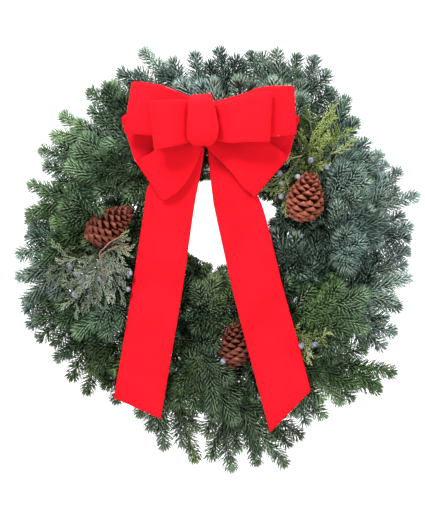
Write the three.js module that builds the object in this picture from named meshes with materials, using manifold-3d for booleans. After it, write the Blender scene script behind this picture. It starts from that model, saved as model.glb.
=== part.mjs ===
// A fresh evergreen wreath, as it hangs: fir and juniper sprays clamped to a wire ring,
// three pine cones and a velvet bow with two tails. Millimetres, +Z up, front towards -Y.
// The origin is where a hook bears, under the outer wire at the top, in the ring's back plane.
import * as THREE from "three";
import { mergeVertices } from "three/addons/utils/BufferGeometryUtils.js";
import Module from "manifold-3d";

const wasm = await Module();
wasm.setup();

// Clamp ring
const RING_OUTER = 152;
const RING_INNER = 128;
const RING_MIDDLE = (RING_OUTER + RING_INNER) / 2;
const WIRE_RADIUS = 2;
const RING_STEPS = 24;
const CLAMP_COUNT = 12;
const CLAMP_LENGTH = 5;
const CLAMP_BAR = 1.6;
const CLAMP_HEIGHT = 9.5;
const PRONG_REACH = 7;
const CLAMP_SEAT = 2 * WIRE_RADIUS + CLAMP_BAR;
const CLAMP_TOP = CLAMP_SEAT + CLAMP_HEIGHT;
const WIRE_CHORDS = 36;
const FIT_GAP = 0.35;
const TIE_RADIUS = 0.8;

// Sprays
const STEM_RADIUS = 2.2;
const SLOT_PITCH = 4.9;
const NEEDLE_LENGTH = 21;
const NEEDLE_BASE = 1.7;
const NEEDLE_LEAN = 0.85;
const NEEDLE_SPACING = 15.5;
const NEEDLED_LENGTH = 82;
const LEADER_NEEDLED_LENGTH = 125;
const NEEDLE_CLEARANCE = 1.5;
const CORE_CLEARANCE = 0.4;
const TIP_BUD = 9;
const SIDE_NECK = 7;
const SIDE_ROOT_RADIUS = 1.6;
const JOINT_LENGTH = 4;
const JOINT_MARGIN = 3;
const CORE_STEPS = 8;
const CORE_SECTION = 28;
const NEEDLE_RADIUS = 0.5;
const NEEDLE_START = 2;
const LEAN_SPREAD = 0.2;
const LEAN_CHANGES = [0, 0.25, -0.25];
const LEAST_NEEDLE = 0.88;
const NEEDLE_SPREAD = 0.24;
const NEEDLE_SHARES = [1, 0.8, 0.6];
const TIP_GAP_SHARE = 0.4;
const NEEDLE_SEED = 14;
const BERRY_RADIUS = 4.5;
const BERRY_STALK = 0.8;
const BERRY_SHOULDER = 0.5;
const BERRY_WAIST = 0.87;

// How a leader leaves its clamp: half the angle it is held over, its free straight and its bends
const HELD_HALF_ANGLE = 4.5;
const FREE_LENGTH = 6;
const BEND_SHARE = 0.35;
const NEAR_DEPTH_SHARE = 0.3;

// A side shoot's bend: how far along its span it stands, and how far out of the leader's line
const SIDE_BEND_SHARE = 0.45;
const SIDE_BEND_ASIDE = 0.22;

// How far shoots stay from the clamps and from the thin wires, as radii
const CLAMP_KEEP_OUT = 3;
const TIE_KEEP_OUT = 1.2;
const WALL_GAP = 1.5;
const BOW_GAP = 3;

// The open middle, an ellipse about a centre that lies above the ring's own
const HOLE_X = 3;
const HOLE_Z = 28;
const HOLE_HALF_WIDTH = 72;
const HOLE_HALF_HEIGHT = 53;

// Bow
const RIBBON_WIDTH = 70;
const RIBBON_THICKNESS = 1;
const KNOT = { x: -21, z: 172 };
const BOW_BACK = 81;

const material = (color, roughness, metalness = 0) =>
  new THREE.MeshStandardMaterial({ color, roughness, metalness });

const MATERIALS = {
  blueFir: material(0x5f7d73, 0.75),
  greenFir: material(0x466e46, 0.75),
  darkFir: material(0x3c5a32, 0.75),
  greyJuniper: material(0x7d8c73, 0.8),
  yellowJuniper: material(0x8ca055, 0.8),
  cone: material(0x965a3c, 0.6),
  velvet: material(0xdc1e2d, 0.9),
  ringWire: material(0x37463c, 0.45, 0.6),
  tieWire: material(0x3c4b3c, 0.5, 0.6),
};

const UPRIGHT = new THREE.Vector3(0, 0, 1);

// A seeded draw between 0 and 1, the same on every run
function seeded(seed) {
  let state = seed;
  return () => {
    state = (state * 1103515245 + 12345) % 2147483648;
    return state / 2147483648;
  };
}

// A place given by its bearing from the ring's centre, its reach and how far it stands forward
function polar(bearing, reach, depth) {
  const angle = THREE.MathUtils.degToRad(bearing);
  return new THREE.Vector3(reach * Math.cos(angle), -depth, reach * Math.sin(angle));
}

function smooth(value) {
  const t = THREE.MathUtils.clamp(value, 0, 1);
  return t * t * (3 - 2 * t);
}

// A closed solid from a three.js geometry, whichever way its faces were wound
function solidOf(geometry) {
  const bare = geometry.clone();
  bare.deleteAttribute("normal");
  bare.deleteAttribute("uv");
  const merged = mergeVertices(bare, 1e-3);
  const index = Array.from(merged.index.array);
  const position = merged.attributes.position;
  const [a, b, c] = [new THREE.Vector3(), new THREE.Vector3(), new THREE.Vector3()];
  let volume = 0;
  for (let i = 0; i < index.length; i += 3) {
    a.fromBufferAttribute(position, index[i]);
    b.fromBufferAttribute(position, index[i + 1]);
    c.fromBufferAttribute(position, index[i + 2]);
    volume += a.dot(b.cross(c));
  }
  if (volume < 0) {
    for (let i = 0; i < index.length; i += 3) {
      [index[i + 1], index[i + 2]] = [index[i + 2], index[i + 1]];
    }
  }
  return new wasm.Manifold(
    new wasm.Mesh({
      numProp: 3,
      vertProperties: Float32Array.from(position.array),
      triVerts: Uint32Array.from(index),
    }),
  );
}

// The outer body alone: a hollow sealed by fusing is filled and a loose scrap is dropped
function oneBody(solid) {
  return solid.decompose().reduce((best, body) => (body.volume() > best.volume() ? body : best));
}

function geometryOf(solid) {
  const mesh = solid.getMesh();
  const geometry = new THREE.BufferGeometry();
  geometry.setAttribute("position", new THREE.BufferAttribute(Float32Array.from(mesh.vertProperties), 3));
  geometry.setIndex(new THREE.BufferAttribute(Uint32Array.from(mesh.triVerts), 1));
  geometry.computeVertexNormals();
  return geometry;
}

function facesGeometry(points, faces) {
  const geometry = new THREE.BufferGeometry().setFromPoints(points);
  geometry.setIndex(faces);
  return geometry;
}

const wreath = new THREE.Group();

function addNode(name, solid, look) {
  const clean = oneBody(solidOf(geometryOf(solid)));
  const mesh = new THREE.Mesh(geometryOf(clean), look);
  mesh.name = name;
  wreath.add(mesh);
}

// Everything that needles and shoots keep clear of, as capsules that each belong to an owner
const capsules = [];

function addCapsule(owner, from, to, radius) {
  capsules.push({ owner, from: from.clone(), to: to.clone(), radius });
}

function addCapsuleChain(owner, points, radius) {
  for (let i = 1; i < points.length; i++) {
    addCapsule(owner, points[i - 1], points[i], radius);
  }
}

// The distance between two straight segments
function segmentGap(p1, q1, p2, q2) {
  const d1 = q1.clone().sub(p1);
  const d2 = q2.clone().sub(p2);
  const r = p1.clone().sub(p2);
  const [a, e, f] = [d1.dot(d1), d2.dot(d2), d2.dot(r)];
  const [b, c] = [d1.dot(d2), d1.dot(r)];
  const spread = a * e - b * b;
  let s = spread > 1e-9 ? THREE.MathUtils.clamp((b * f - c * e) / spread, 0, 1) : 0;
  let t = (b * s + f) / e;
  if (t < 0) {
    t = 0;
    s = THREE.MathUtils.clamp(-c / a, 0, 1);
  } else if (t > 1) {
    t = 1;
    s = THREE.MathUtils.clamp((b - c) / a, 0, 1);
  }
  return p1.clone().addScaledVector(d1, s).distanceTo(p2.clone().addScaledVector(d2, t));
}

function isNear(item, from, to, reach) {
  for (const axis of ["x", "y", "z"]) {
    const low = Math.min(from[axis], to[axis]) - reach;
    const high = Math.max(from[axis], to[axis]) + reach;
    if (Math.max(item.from[axis], item.to[axis]) < low) return false;
    if (Math.min(item.from[axis], item.to[axis]) > high) return false;
  }
  return true;
}

function clearOfCapsules(from, to, radius, clearance, skipped) {
  for (const item of capsules) {
    if (skipped(item)) continue;
    const reach = radius + item.radius + clearance;
    if (!isNear(item, from, to, reach)) continue;
    if (segmentGap(from, to, item.from, item.to) < reach) return false;
  }
  return true;
}

// The bow's outline from the front, as strips: from, to, half width
const BOW_STRIPS = [
  { from: [-124, 189], to: [106, 186], half: 38 },
  { from: [-21, 165], to: [-95, 88], half: 38 },
  { from: [-21, 165], to: [78, 92], half: 38 },
  { from: [-27, 150], to: [-64, 60], half: 38 },
  { from: [-64, 60], to: [-111, -226], half: 38 },
  { from: [-5, 150], to: [30, 45], half: 38 },
  { from: [30, 45], to: [100, -230], half: 38 },
];

function inStrip(point, strip) {
  const [x0, z0] = strip.from;
  const [dx, dz] = [strip.to[0] - x0, strip.to[1] - z0];
  const along = ((point.x - x0) * dx + (point.z - z0) * dz) / (dx * dx + dz * dz);
  const t = THREE.MathUtils.clamp(along, 0, 1);
  return Math.hypot(point.x - x0 - dx * t, point.z - z0 - dz * t) < strip.half;
}

// Foliage stays behind the bow, out of the open middle and in front of the wall
function isAllowed(point) {
  if (point.y > -WALL_GAP) return false;
  if (point.y < BOW_GAP - BOW_BACK && BOW_STRIPS.some((strip) => inStrip(point, strip))) return false;
  const holeX = (point.x - HOLE_X) / HOLE_HALF_WIDTH;
  const holeZ = (point.z - HOLE_Z) / HOLE_HALF_HEIGHT;
  return holeX * holeX + holeZ * holeZ > 1;
}

// A frame across a path: one axis points to the wall, the other lies along the face
function acrossFrame(tangent) {
  const toWall = new THREE.Vector3(0, 1, 0).addScaledVector(tangent, -tangent.y).normalize();
  const side = new THREE.Vector3().crossVectors(tangent, toWall);
  return { toWall, side };
}

// One shoot: a slim three-sided core along a curve, from whose short segments needles rise
class Shoot {
  constructor(owner, curve, options) {
    this.owner = owner;
    this.curve = curve;
    this.length = curve.getLength();
    this.options = options;
    this.joints = [];
  }

  radiusAt(t) {
    const { rootRadius, tipRadius } = this.options;
    return THREE.MathUtils.lerp(rootRadius, tipRadius, Math.sqrt(t));
  }

  // The core's straight sections, from the root on
  sections() {
    const points = this.curve.getPoints(CORE_STEPS);
    return points.slice(1).map((to, i) => ({
      from: points[i],
      to,
      radius: this.radiusAt((i + 0.5) / (points.length - 1)),
      isRoot: i === 0,
      isLow: i < CORE_STEPS / 2,
    }));
  }

  // The root section is held or joined, and the low ones may pass close to their own spray
  isClear() {
    const ofSpray = (item) => item.owner.startsWith(this.owner + "/");
    const none = () => false;
    return this.sections().every(({ from, to, radius, isRoot, isLow }) => {
      if (isRoot) return true;
      return isAllowed(to) && clearOfCapsules(from, to, radius, CORE_CLEARANCE, isLow ? ofSpray : none);
    });
  }

  register(id) {
    this.id = this.owner + "/" + id;
    this.sections().forEach(({ from, to, radius }) => addCapsule(this.id, from, to, radius));
  }

  // Where each section of the core stands, and what the segment after it holds
  stations() {
    const { spacing, needled, isSide } = this.options;
    const bare = Math.max(this.options.bare, this.length - needled);
    const joints = this.joints.map((growth) => ({ at: growth.share * this.length, growth }));
    const isBelow = (at, joint) => at < joint.at - JOINT_MARGIN;
    const isAbove = (at, joint) => at > joint.at + JOINT_LENGTH + JOINT_MARGIN / 2;
    const isFree = (at) => joints.every((joint) => isBelow(at, joint) || isAbove(at, joint));
    const list = [];
    const first = isSide ? SIDE_NECK : 0;
    const bareSteps = Math.max(1, Math.round((bare - first) / CORE_SECTION));
    for (let i = 0; i < bareSteps; i++) {
      const at = first + ((bare - first) * i) / bareSteps;
      if (isFree(at)) list.push({ at });
    }
    const count = Math.max(2, Math.round((this.length - bare) / spacing));
    const step = (this.length - bare - NEEDLE_BASE) / (count - TIP_GAP_SHARE);
    for (let i = 0; i < count; i++) {
      const at = bare + step * i;
      if (isFree(at)) list.push({ at, whorl: true }, { at: at + NEEDLE_BASE });
    }
    joints.forEach(({ at, growth }) => list.push({ at, growth }, { at: at + JOINT_LENGTH }));
    return list.sort((a, b) => a.at - b.at);
  }

  // Adds the shoot to a mesh, from a ring that is already there or from a cut butt
  build(mesh, random, rootRing = null) {
    const { points, faces } = mesh;
    let turn = Math.PI / 3;
    let ring = rootRing;
    let before = null;
    this.stations().forEach((station) => {
      const t = Math.min(station.at / this.length, 1);
      const centre = this.curve.getPointAt(t);
      const tangent = this.curve.getTangentAt(t);
      const { toWall, side } = acrossFrame(tangent);
      if (before === null && rootRing) {
        const spoke = points[rootRing[0]].clone().sub(this.curve.getPointAt(0));
        turn = Math.atan2(spoke.dot(side), spoke.dot(toWall));
      } else if (station.whorl) {
        turn -= Math.PI / 3;
      }
      const radius = this.radiusAt(t);
      const next = [0, 1, 2].map((corner) => {
        const angle = turn + (corner * 2 * Math.PI) / 3;
        const spoke = toWall.clone().multiplyScalar(radius * Math.cos(angle));
        points.push(centre.clone().add(spoke).addScaledVector(side, radius * Math.sin(angle)));
        return points.length - 1;
      });
      if (ring) this.join(mesh, ring, next, before, random);
      else faces.push(next[0], next[2], next[1]);
      ring = next;
      before = { ...station, centre, tangent };
    });
    points.push(this.curve.getPointAt(1).addScaledVector(this.curve.getTangentAt(1), this.options.bud));
    const apex = points.length - 1;
    ring.forEach((corner, i) => faces.push(corner, ring[(i + 1) % 3], apex));
    this.joints.forEach((growth) => growth.build(mesh, random, growth.rootRing));
  }

  direction() {
    return this.curve.getTangentAt(0.05);
  }

  // The faces between two sections: plain, raised into needles or opened for what grows there
  join({ points, faces }, ring, next, before, random) {
    const quads = [0, 1, 2].map((i) => [ring[i], ring[(i + 1) % 3], next[(i + 1) % 3], next[i]]);
    const facing = before?.growth ? this.quadTowards(quads, points, before) : -1;
    quads.forEach((quad, i) => {
      const tip = before?.whorl ? this.needleTip(quad, points, before, random) : null;
      if (tip) {
        points.push(tip);
        const apex = points.length - 1;
        quad.forEach((from, k) => faces.push(from, quad[(k + 1) % 4], apex));
        return;
      }
      if (i === facing) before.growth.rootRing = [quad[0], quad[1], quad[2]];
      else faces.push(quad[0], quad[1], quad[2]);
      faces.push(quad[0], quad[2], quad[3]);
    });
  }

  quadTowards(quads, points, { centre, growth }) {
    const direction = growth.direction();
    const facing = quads.map((quad) => {
      const middle = points[quad[0]].clone().add(points[quad[1]]).multiplyScalar(0.5);
      return middle.sub(centre).normalize().dot(direction);
    });
    return facing.indexOf(Math.max(...facing));
  }

  // A needle's tip over its four root corners, or null where nothing can stand clear
  needleTip(quad, points, { centre, tangent }, random) {
    const root = new THREE.Vector3();
    quad.forEach((index) => root.addScaledVector(points[index], 0.25));
    const outward = root.clone().sub(centre);
    outward.addScaledVector(tangent, -outward.dot(tangent)).normalize();
    const lean = NEEDLE_LEAN + (random() - 0.5) * LEAN_SPREAD;
    const size = this.options.needle * (LEAST_NEEDLE + NEEDLE_SPREAD * random());
    for (const share of NEEDLE_SHARES) {
      for (const extra of LEAN_CHANGES) {
        const direction = tangent
          .clone()
          .multiplyScalar(Math.cos(lean + extra))
          .addScaledVector(outward, Math.sin(lean + extra));
        const tip = root.clone().addScaledVector(direction, size * share);
        const start = root.clone().addScaledVector(direction, NEEDLE_START);
        if (this.needleIsClear(start, tip)) {
          addCapsule(this.id, start, tip, NEEDLE_RADIUS);
          return tip;
        }
      }
    }
    return null;
  }

  needleIsClear(start, tip) {
    const middle = start.clone().lerp(tip, 0.5);
    if (![start, middle, tip].every(isAllowed)) return false;
    const own = (item) => item.owner === this.id;
    return clearOfCapsules(start, tip, NEEDLE_RADIUS, NEEDLE_CLEARANCE, own);
  }
}

// A berry that grows from a shoot's side, turned to the front or as near to it as it finds room
const BERRY_ANGLES = [Math.PI, 2.2, -2.2, 1.4, -1.4];

class Berry {
  constructor(owner, shoot, share) {
    this.share = share;
    const foot = shoot.curve.getPointAt(share);
    const tangent = shoot.curve.getTangentAt(share);
    const { toWall, side } = acrossFrame(tangent);
    const reach = shoot.radiusAt(share) + BERRY_RADIUS + BERRY_STALK;
    const own = (item) => item.owner === shoot.id;
    for (const angle of BERRY_ANGLES) {
      this.outward = toWall.clone().multiplyScalar(Math.cos(angle)).addScaledVector(side, Math.sin(angle));
      this.centre = foot.clone().addScaledVector(this.outward, reach);
      const front = this.centre.clone().addScaledVector(this.outward, BERRY_RADIUS);
      if (!isAllowed(front)) continue;
      if (clearOfCapsules(this.centre, this.tip(), BERRY_RADIUS, NEEDLE_CLEARANCE, own)) break;
    }
    addCapsule(owner + "/berry", this.centre, this.tip(), BERRY_RADIUS);
  }

  // A short way out from the centre, so that the berry's capsule has a length
  tip() {
    return this.centre.clone().addScaledVector(this.outward, NEEDLE_RADIUS);
  }

  direction() {
    return this.outward;
  }

  build({ points, faces }, random, rootRing) {
    const spoke = points[rootRing[0]].clone().sub(this.centre);
    spoke.addScaledVector(this.outward, -spoke.dot(this.outward)).normalize();
    const other = new THREE.Vector3().crossVectors(this.outward, spoke);
    const ringAt = (height, reach) =>
      [0, 1, 2, 3, 4, 5].map((i) => {
        const angle = (i * Math.PI) / 3;
        const point = this.centre.clone().addScaledVector(this.outward, height * BERRY_RADIUS);
        point.addScaledVector(spoke, reach * BERRY_RADIUS * Math.cos(angle));
        points.push(point.addScaledVector(other, reach * BERRY_RADIUS * Math.sin(angle)));
        return points.length - 1;
      });
    const low = ringAt(-BERRY_SHOULDER, BERRY_WAIST);
    const high = ringAt(BERRY_SHOULDER, BERRY_WAIST);
    points.push(this.centre.clone().addScaledVector(this.outward, BERRY_RADIUS));
    const apex = points.length - 1;
    rootRing.forEach((from, i) => {
      const to = rootRing[(i + 1) % 3];
      const [a, b, c] = [low[2 * i], low[2 * i + 1], low[(2 * i + 2) % 6]];
      faces.push(from, b, a, from, to, b, to, c, b);
    });
    low.forEach((from, i) => {
      const j = (i + 1) % 6;
      faces.push(from, low[j], high[j], from, high[j], high[i]);
      faces.push(high[i], high[j], apex);
    });
  }
}

// Clamps stand evenly round the ring, and each spray lies in a slot across the ring's width
const clampBearing = (clamp) => (clamp * 360) / CLAMP_COUNT;
const slotReach = (slot) => RING_MIDDLE + (slot - 1.5) * SLOT_PITCH;
const BUTT_DEPTH = CLAMP_SEAT + FIT_GAP + STEM_RADIUS / 2;

// The leader leaves its clamp along the ring and bends to its tip
function leaderCurve(clamp, slot, tip, lift) {
  const bearing = clampBearing(clamp);
  const heldReach = slotReach(slot) / Math.cos(THREE.MathUtils.degToRad(HELD_HALF_ANGLE));
  const butt = polar(bearing - HELD_HALF_ANGLE, heldReach, BUTT_DEPTH);
  const held = polar(bearing + HELD_HALF_ANGLE, heldReach, BUTT_DEPTH);
  const along = held.clone().sub(butt).normalize();
  const free = held.clone().addScaledVector(along, FREE_LENGTH);
  const span = free.distanceTo(tip);
  const bend = free.clone().addScaledVector(along, span * BEND_SHARE);
  bend.y -= lift;
  const outward = new THREE.Vector3(tip.x, 0, tip.z).normalize();
  const reach = Math.sign(Math.hypot(tip.x, tip.z) - RING_MIDDLE);
  const near = tip.clone().addScaledVector(outward, -reach * span * BEND_SHARE);
  near.y = THREE.MathUtils.lerp(tip.y, bend.y, NEAR_DEPTH_SHARE);
  const path = new THREE.CurvePath();
  path.add(new THREE.LineCurve3(butt, free));
  path.add(new THREE.CubicBezierCurve3(free, bend, near, tip));
  return path;
}

// A side shoot leaves the leader at a share of its length and bends to its own tip
function sideCurve(leader, share, tip) {
  const root = leader.getPointAt(share);
  const tangent = leader.getTangentAt(share);
  const span = tip.clone().sub(root);
  const aside = span.clone().addScaledVector(tangent, -span.dot(tangent));
  const bend = root.clone().addScaledVector(span, SIDE_BEND_SHARE).addScaledVector(aside, SIDE_BEND_ASIDE);
  return new THREE.QuadraticBezierCurve3(root, bend, tip);
}

// Small moves that are tried in turn until a shoot lies clear of the ones before it
const NUDGES = [
  [0, 0, 0], [0, 0, 7], [0, 0, -7], [2.5, 0, 0], [-2.5, 0, 0], [2.5, 0, 8], [-2.5, 0, 8],
  [0, -12, 0], [0, -12, 8], [0, -12, -8], [4, -8, 12], [-4, -8, 12], [4, -8, -10], [-4, -8, -10],
  [0, -25, 14], [6, -20, 0], [-6, -20, 0],
];

const LEAST_DEPTH = 6;

function placeShoot(owner, id, tip, makeCurve, options) {
  const [bearing, reach, depth] = tip;
  const tries = NUDGES.map(([turn, further, deeper]) => () => {
    const moved = polar(bearing + turn, reach + further, Math.max(depth + deeper, LEAST_DEPTH));
    return new Shoot(owner, makeCurve(moved), options);
  });
  let shoot = tries[0]();
  for (let i = 1; i < tries.length && !shoot.isClear(); i++) {
    shoot = tries[i]();
  }
  shoot.register(id);
  return shoot;
}

// A spray's cores: its leader, then a side shoot for each further tip
function laySpray(name, spray, style) {
  const makeLeader = (moved) => leaderCurve(spray.clamp, spray.slot, moved, style.lift);
  const leader = placeShoot(name, 0, spray.tips[0], makeLeader, {
    ...style,
    needled: style.leaderNeedled,
    rootRadius: STEM_RADIUS,
    bare: style.leaderBare,
  });
  const shoots = [leader];
  const options = { ...style, isSide: true, rootRadius: SIDE_ROOT_RADIUS, bare: style.sideBare };
  spray.tips.slice(1).forEach((tip, i) => {
    const share = style.shares[i % style.shares.length];
    const makeCurve = (moved) => sideCurve(leader.curve, share, moved);
    const shoot = placeShoot(name, i + 1, tip, makeCurve, options);
    shoot.share = share;
    leader.joints.push(shoot);
    shoots.push(shoot);
  });
  for (const [index, share] of spray.berries ?? []) {
    shoots[index].joints.push(new Berry(name, shoots[index], share));
  }
  return { name, leader, look: spray.look };
}

function finishSpray(laid, random) {
  const mesh = { points: [], faces: [] };
  laid.leader.build(mesh, random);
  addNode(laid.name, solidOf(facesGeometry(mesh.points, mesh.faces)), MATERIALS[laid.look]);
}

const FIR = {
  tipRadius: 1.2, needle: NEEDLE_LENGTH, spacing: NEEDLE_SPACING, needled: NEEDLED_LENGTH,
  leaderNeedled: LEADER_NEEDLED_LENGTH, bud: TIP_BUD, lift: 10,
  leaderBare: 75, sideBare: 14, shares: [0.52, 0.42, 0.62, 0.34],
};
const FACE_FIR = { ...FIR, needled: 68, lift: 34, leaderBare: 60, shares: [0.5, 0.42, 0.62] };
const INNER_FIR = { ...FIR, lift: 14, leaderBare: 45, sideBare: 13, shares: [0.5, 0.4] };
const JUNIPER = {
  ...FIR, needle: 12, spacing: 12, needled: 50, leaderNeedled: 60, bud: 6, lift: 34,
  leaderBare: 62, sideBare: 13, shares: [0.42, 0.5, 0.58, 0.66],
};

// Each tip is a bearing in degrees, a reach and a depth in millimetres
const OUTER_SPRAYS = [
  { clamp: 11, look: "blueFir", tips: [[14, 276, 34], [5, 262, 18], [21, 263, 48], [28, 253, 26]] },
  { clamp: 0, look: "blueFir", tips: [[42, 250, 22], [34, 243, 42], [47, 255, 40], [52, 263, 14]] },
  { clamp: 1, look: "blueFir", tips: [[67, 278, 26], [62, 284, 44], [72, 273, 50], [79, 266, 16]] },
  { clamp: 2, look: "blueFir", tips: [[97, 259, 34], [89, 262, 48], [110, 284, 20], [118, 268, 46]] },
  { clamp: 3, look: "greenFir", tips: [[140, 274, 30], [129, 269, 44], [145, 266, 52], [123, 262, 14]] },
  { clamp: 4, look: "greenFir", tips: [[162, 266, 28], [151, 269, 42], [169, 258, 50], [175, 255, 16]] },
  { clamp: 5, look: "blueFir", tips: [[189, 273, 31], [182, 268, 45], [195, 270, 52], [202, 279, 18]] },
  { clamp: 6, look: "darkFir", tips: [[215, 266, 26], [207, 271, 44], [221, 266, 48], [227, 269, 16]] },
  { clamp: 7, look: "darkFir", tips: [[245, 252, 28], [236, 250, 46], [254, 283, 38], [263, 295, 16]] },
  { clamp: 8, look: "darkFir", tips: [[280, 300, 30], [273, 303, 44], [286, 310, 50], [292, 285, 16]] },
  { clamp: 9, look: "greenFir", tips: [[308, 270, 28], [301, 270, 46], [317, 296, 22], [323, 294, 46]] },
  { clamp: 10, look: "blueFir", tips: [[341, 258, 30], [333, 264, 46], [349, 260, 52], [357, 258, 20]] },
];

const FACE_SPRAYS = [
  { clamp: 11, look: "blueFir", tips: [[8, 222, 82], [0, 190, 96], [18, 208, 76]] },
  { clamp: 0, look: "blueFir", tips: [[33, 226, 74], [27, 212, 90], [50, 212, 66]] },
  { clamp: 1, look: "blueFir", tips: [[60, 226, 72], [70, 232, 66], [55, 196, 76]] },
  { clamp: 2, look: "blueFir", tips: [[92, 216, 66], [82, 222, 72], [102, 222, 64]] },
  { clamp: 3, look: "greenFir", tips: [[126, 214, 78], [118, 222, 70], [135, 196, 88]] },
  { clamp: 4, look: "greenFir", tips: [[152, 222, 80], [144, 196, 92], [146, 228, 70]] },
  { clamp: 5, look: "greenFir", tips: [[176, 226, 68], [166, 212, 80], [183, 232, 62]] },
  { clamp: 6, look: "greenFir", tips: [[212, 218, 80], [206, 232, 66], [217, 190, 92]] },
  { clamp: 7, look: "darkFir", tips: [[232, 214, 72], [225, 226, 70], [238, 196, 76]] },
  { clamp: 8, look: "darkFir", tips: [[268, 214, 84], [261, 222, 74], [274, 236, 70]] },
  { clamp: 9, look: "darkFir", tips: [[300, 214, 72], [292, 226, 72], [307, 222, 66]] },
  { clamp: 10, look: "greenFir", tips: [[330, 222, 80], [321, 216, 78], [340, 206, 92]] },
];

const INNER_SPRAYS = [
  { clamp: 0, look: "blueFir", tips: [[22, 98, 26], [30, 104, 58]] },
  { clamp: 1, look: "darkFir", tips: [[55, 108, 20], [50, 112, 52]] },
  { clamp: 2, look: "darkFir", tips: [[86, 108, 20], [80, 110, 56]] },
  { clamp: 3, look: "darkFir", tips: [[116, 106, 22], [110, 108, 56]] },
  { clamp: 4, look: "greenFir", tips: [[148, 100, 24], [140, 106, 58]] },
  { clamp: 5, look: "greenFir", tips: [[178, 92, 26], [170, 96, 60]] },
  { clamp: 6, look: "greenFir", tips: [[212, 80, 26], [204, 86, 60]] },
  { clamp: 7, look: "darkFir", tips: [[244, 60, 24], [234, 72, 62]] },
  { clamp: 8, look: "darkFir", tips: [[274, 52, 26], [262, 58, 64]] },
  { clamp: 9, look: "darkFir", tips: [[304, 62, 24], [294, 62, 62]] },
  { clamp: 10, look: "greenFir", tips: [[334, 82, 26], [324, 74, 60]] },
  { clamp: 11, look: "blueFir", tips: [[0, 94, 24], [352, 92, 58]] },
];

const JUNIPER_SPRAYS = [
  {
    name: "juniper_right_upper", clamp: 0, slot: 2, look: "yellowJuniper",
    tips: [[50, 216, 92], [62, 214, 84], [56, 228, 76], [44, 200, 88], [40, 186, 84]],
    berries: [[3, 0.6], [4, 0.8], [0, 0.9], [1, 0.7], [2, 0.75]],
  },
  {
    name: "juniper_left", clamp: 5, slot: 2, look: "greyJuniper",
    tips: [[196, 212, 84], [188, 226, 78], [192, 190, 92], [199, 186, 90], [202, 212, 80]],
    berries: [[1, 0.6], [2, 0.8], [3, 0.8], [4, 0.6], [0, 0.85], [1, 0.85]],
  },
  {
    name: "juniper_right_lower", clamp: 9, slot: 2, look: "yellowJuniper",
    tips: [[314, 186, 84], [310, 196, 78], [318, 192, 86]],
    berries: [[0, 0.88], [1, 0.8], [2, 0.7]],
  },
];

// Cones: the middle of the foot, the tip, the greatest radius, and where the wire meets the ring
const CONES = [
  { name: "cone_left", foot: [-177, -70, 10], tip: [-122, -84, 48], radius: 27, bearing: 174 },
  { name: "cone_right", foot: [116, -72, 36], tip: [129, -86, 98], radius: 30, bearing: 24 },
  { name: "cone_bottom", foot: [25, -54, -168], tip: [25, -62, -110], radius: 26, bearing: 278 },
];
const CONE_ROUNDING = 0.6;
const CONE_ROWS = 9;
const CONE_SCALES = 8;
const SCALE_ROOT = 0.62;
const SCALE_NOTCH = 0.3;
const SCALE_POINT = 0.02;
const SCALE_RISE = 1.1;
const ROWS_SHARE = 0.94;

// How wide a cone is at a share of its height, against its greatest radius
function coneGirth(share) {
  return Math.pow(Math.sin(Math.PI * (0.16 + 0.8 * share)), 0.7);
}

// Rows of scales, each an inner ring and an outer one that is notched between the scales
function coneSolid(cone) {
  const foot = new THREE.Vector3(...cone.foot);
  const axis = new THREE.Vector3(...cone.tip).sub(foot);
  const height = axis.length();
  const points = [new THREE.Vector3(0, 0, 0)];
  const faces = [];
  const half = 2 * CONE_SCALES;
  const ring = (reach, z, notch, turn) => {
    for (let i = 0; i < half; i++) {
      const angle = ((i + turn) * Math.PI) / CONE_SCALES;
      const isNotch = i % 2 === 1;
      const r = isNotch ? reach * (1 - notch) : reach;
      const rise = (isNotch ? -SCALE_POINT : SCALE_POINT) * height;
      points.push(new THREE.Vector3(r * Math.cos(angle), r * Math.sin(angle), z + rise));
    }
  };
  const rowHeight = (height * ROWS_SHARE) / CONE_ROWS;
  for (let row = 0; row < CONE_ROWS; row++) {
    const girth = cone.radius * coneGirth((row + 0.5) / CONE_ROWS);
    ring(girth * SCALE_ROOT, rowHeight * row, 0, row % 2);
    ring(girth, rowHeight * (row + SCALE_RISE), SCALE_NOTCH, row % 2);
  }
  points.push(new THREE.Vector3(0, 0, height));
  const apex = points.length - 1;
  const rings = 2 * CONE_ROWS;
  for (let k = 0; k < rings; k++) {
    for (let i = 0; i < half; i++) {
      const next = (i + 1) % half;
      const [a, b] = [1 + k * half + i, 1 + k * half + next];
      if (k === 0) faces.push(0, b, a);
      if (k === rings - 1) {
        faces.push(a, b, apex);
        continue;
      }
      const [c, d] = [a + half, b + half];
      faces.push(a, b, d, a, d, c);
    }
  }
  const geometry = facesGeometry(points, faces);
  geometry.applyQuaternion(new THREE.Quaternion().setFromUnitVectors(UPRIGHT, axis.normalize()));
  geometry.translate(foot.x, foot.y, foot.z);
  return solidOf(geometry);
}

// A thin four-sided wire along a path
function wireSolid(path, steps) {
  const section = new THREE.Shape([
    new THREE.Vector2(TIE_RADIUS, 0),
    new THREE.Vector2(0, TIE_RADIUS),
    new THREE.Vector2(-TIE_RADIUS, 0),
    new THREE.Vector2(0, -TIE_RADIUS),
  ]);
  return solidOf(new THREE.ExtrudeGeometry(section, { steps, extrudePath: path, bevelEnabled: false }));
}

// A wire from a cone's foot back to the ring's outer wire
const CONE_WIRE_STRAIGHT = 12;
const CONE_WIRE_STEPS = 8;

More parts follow.
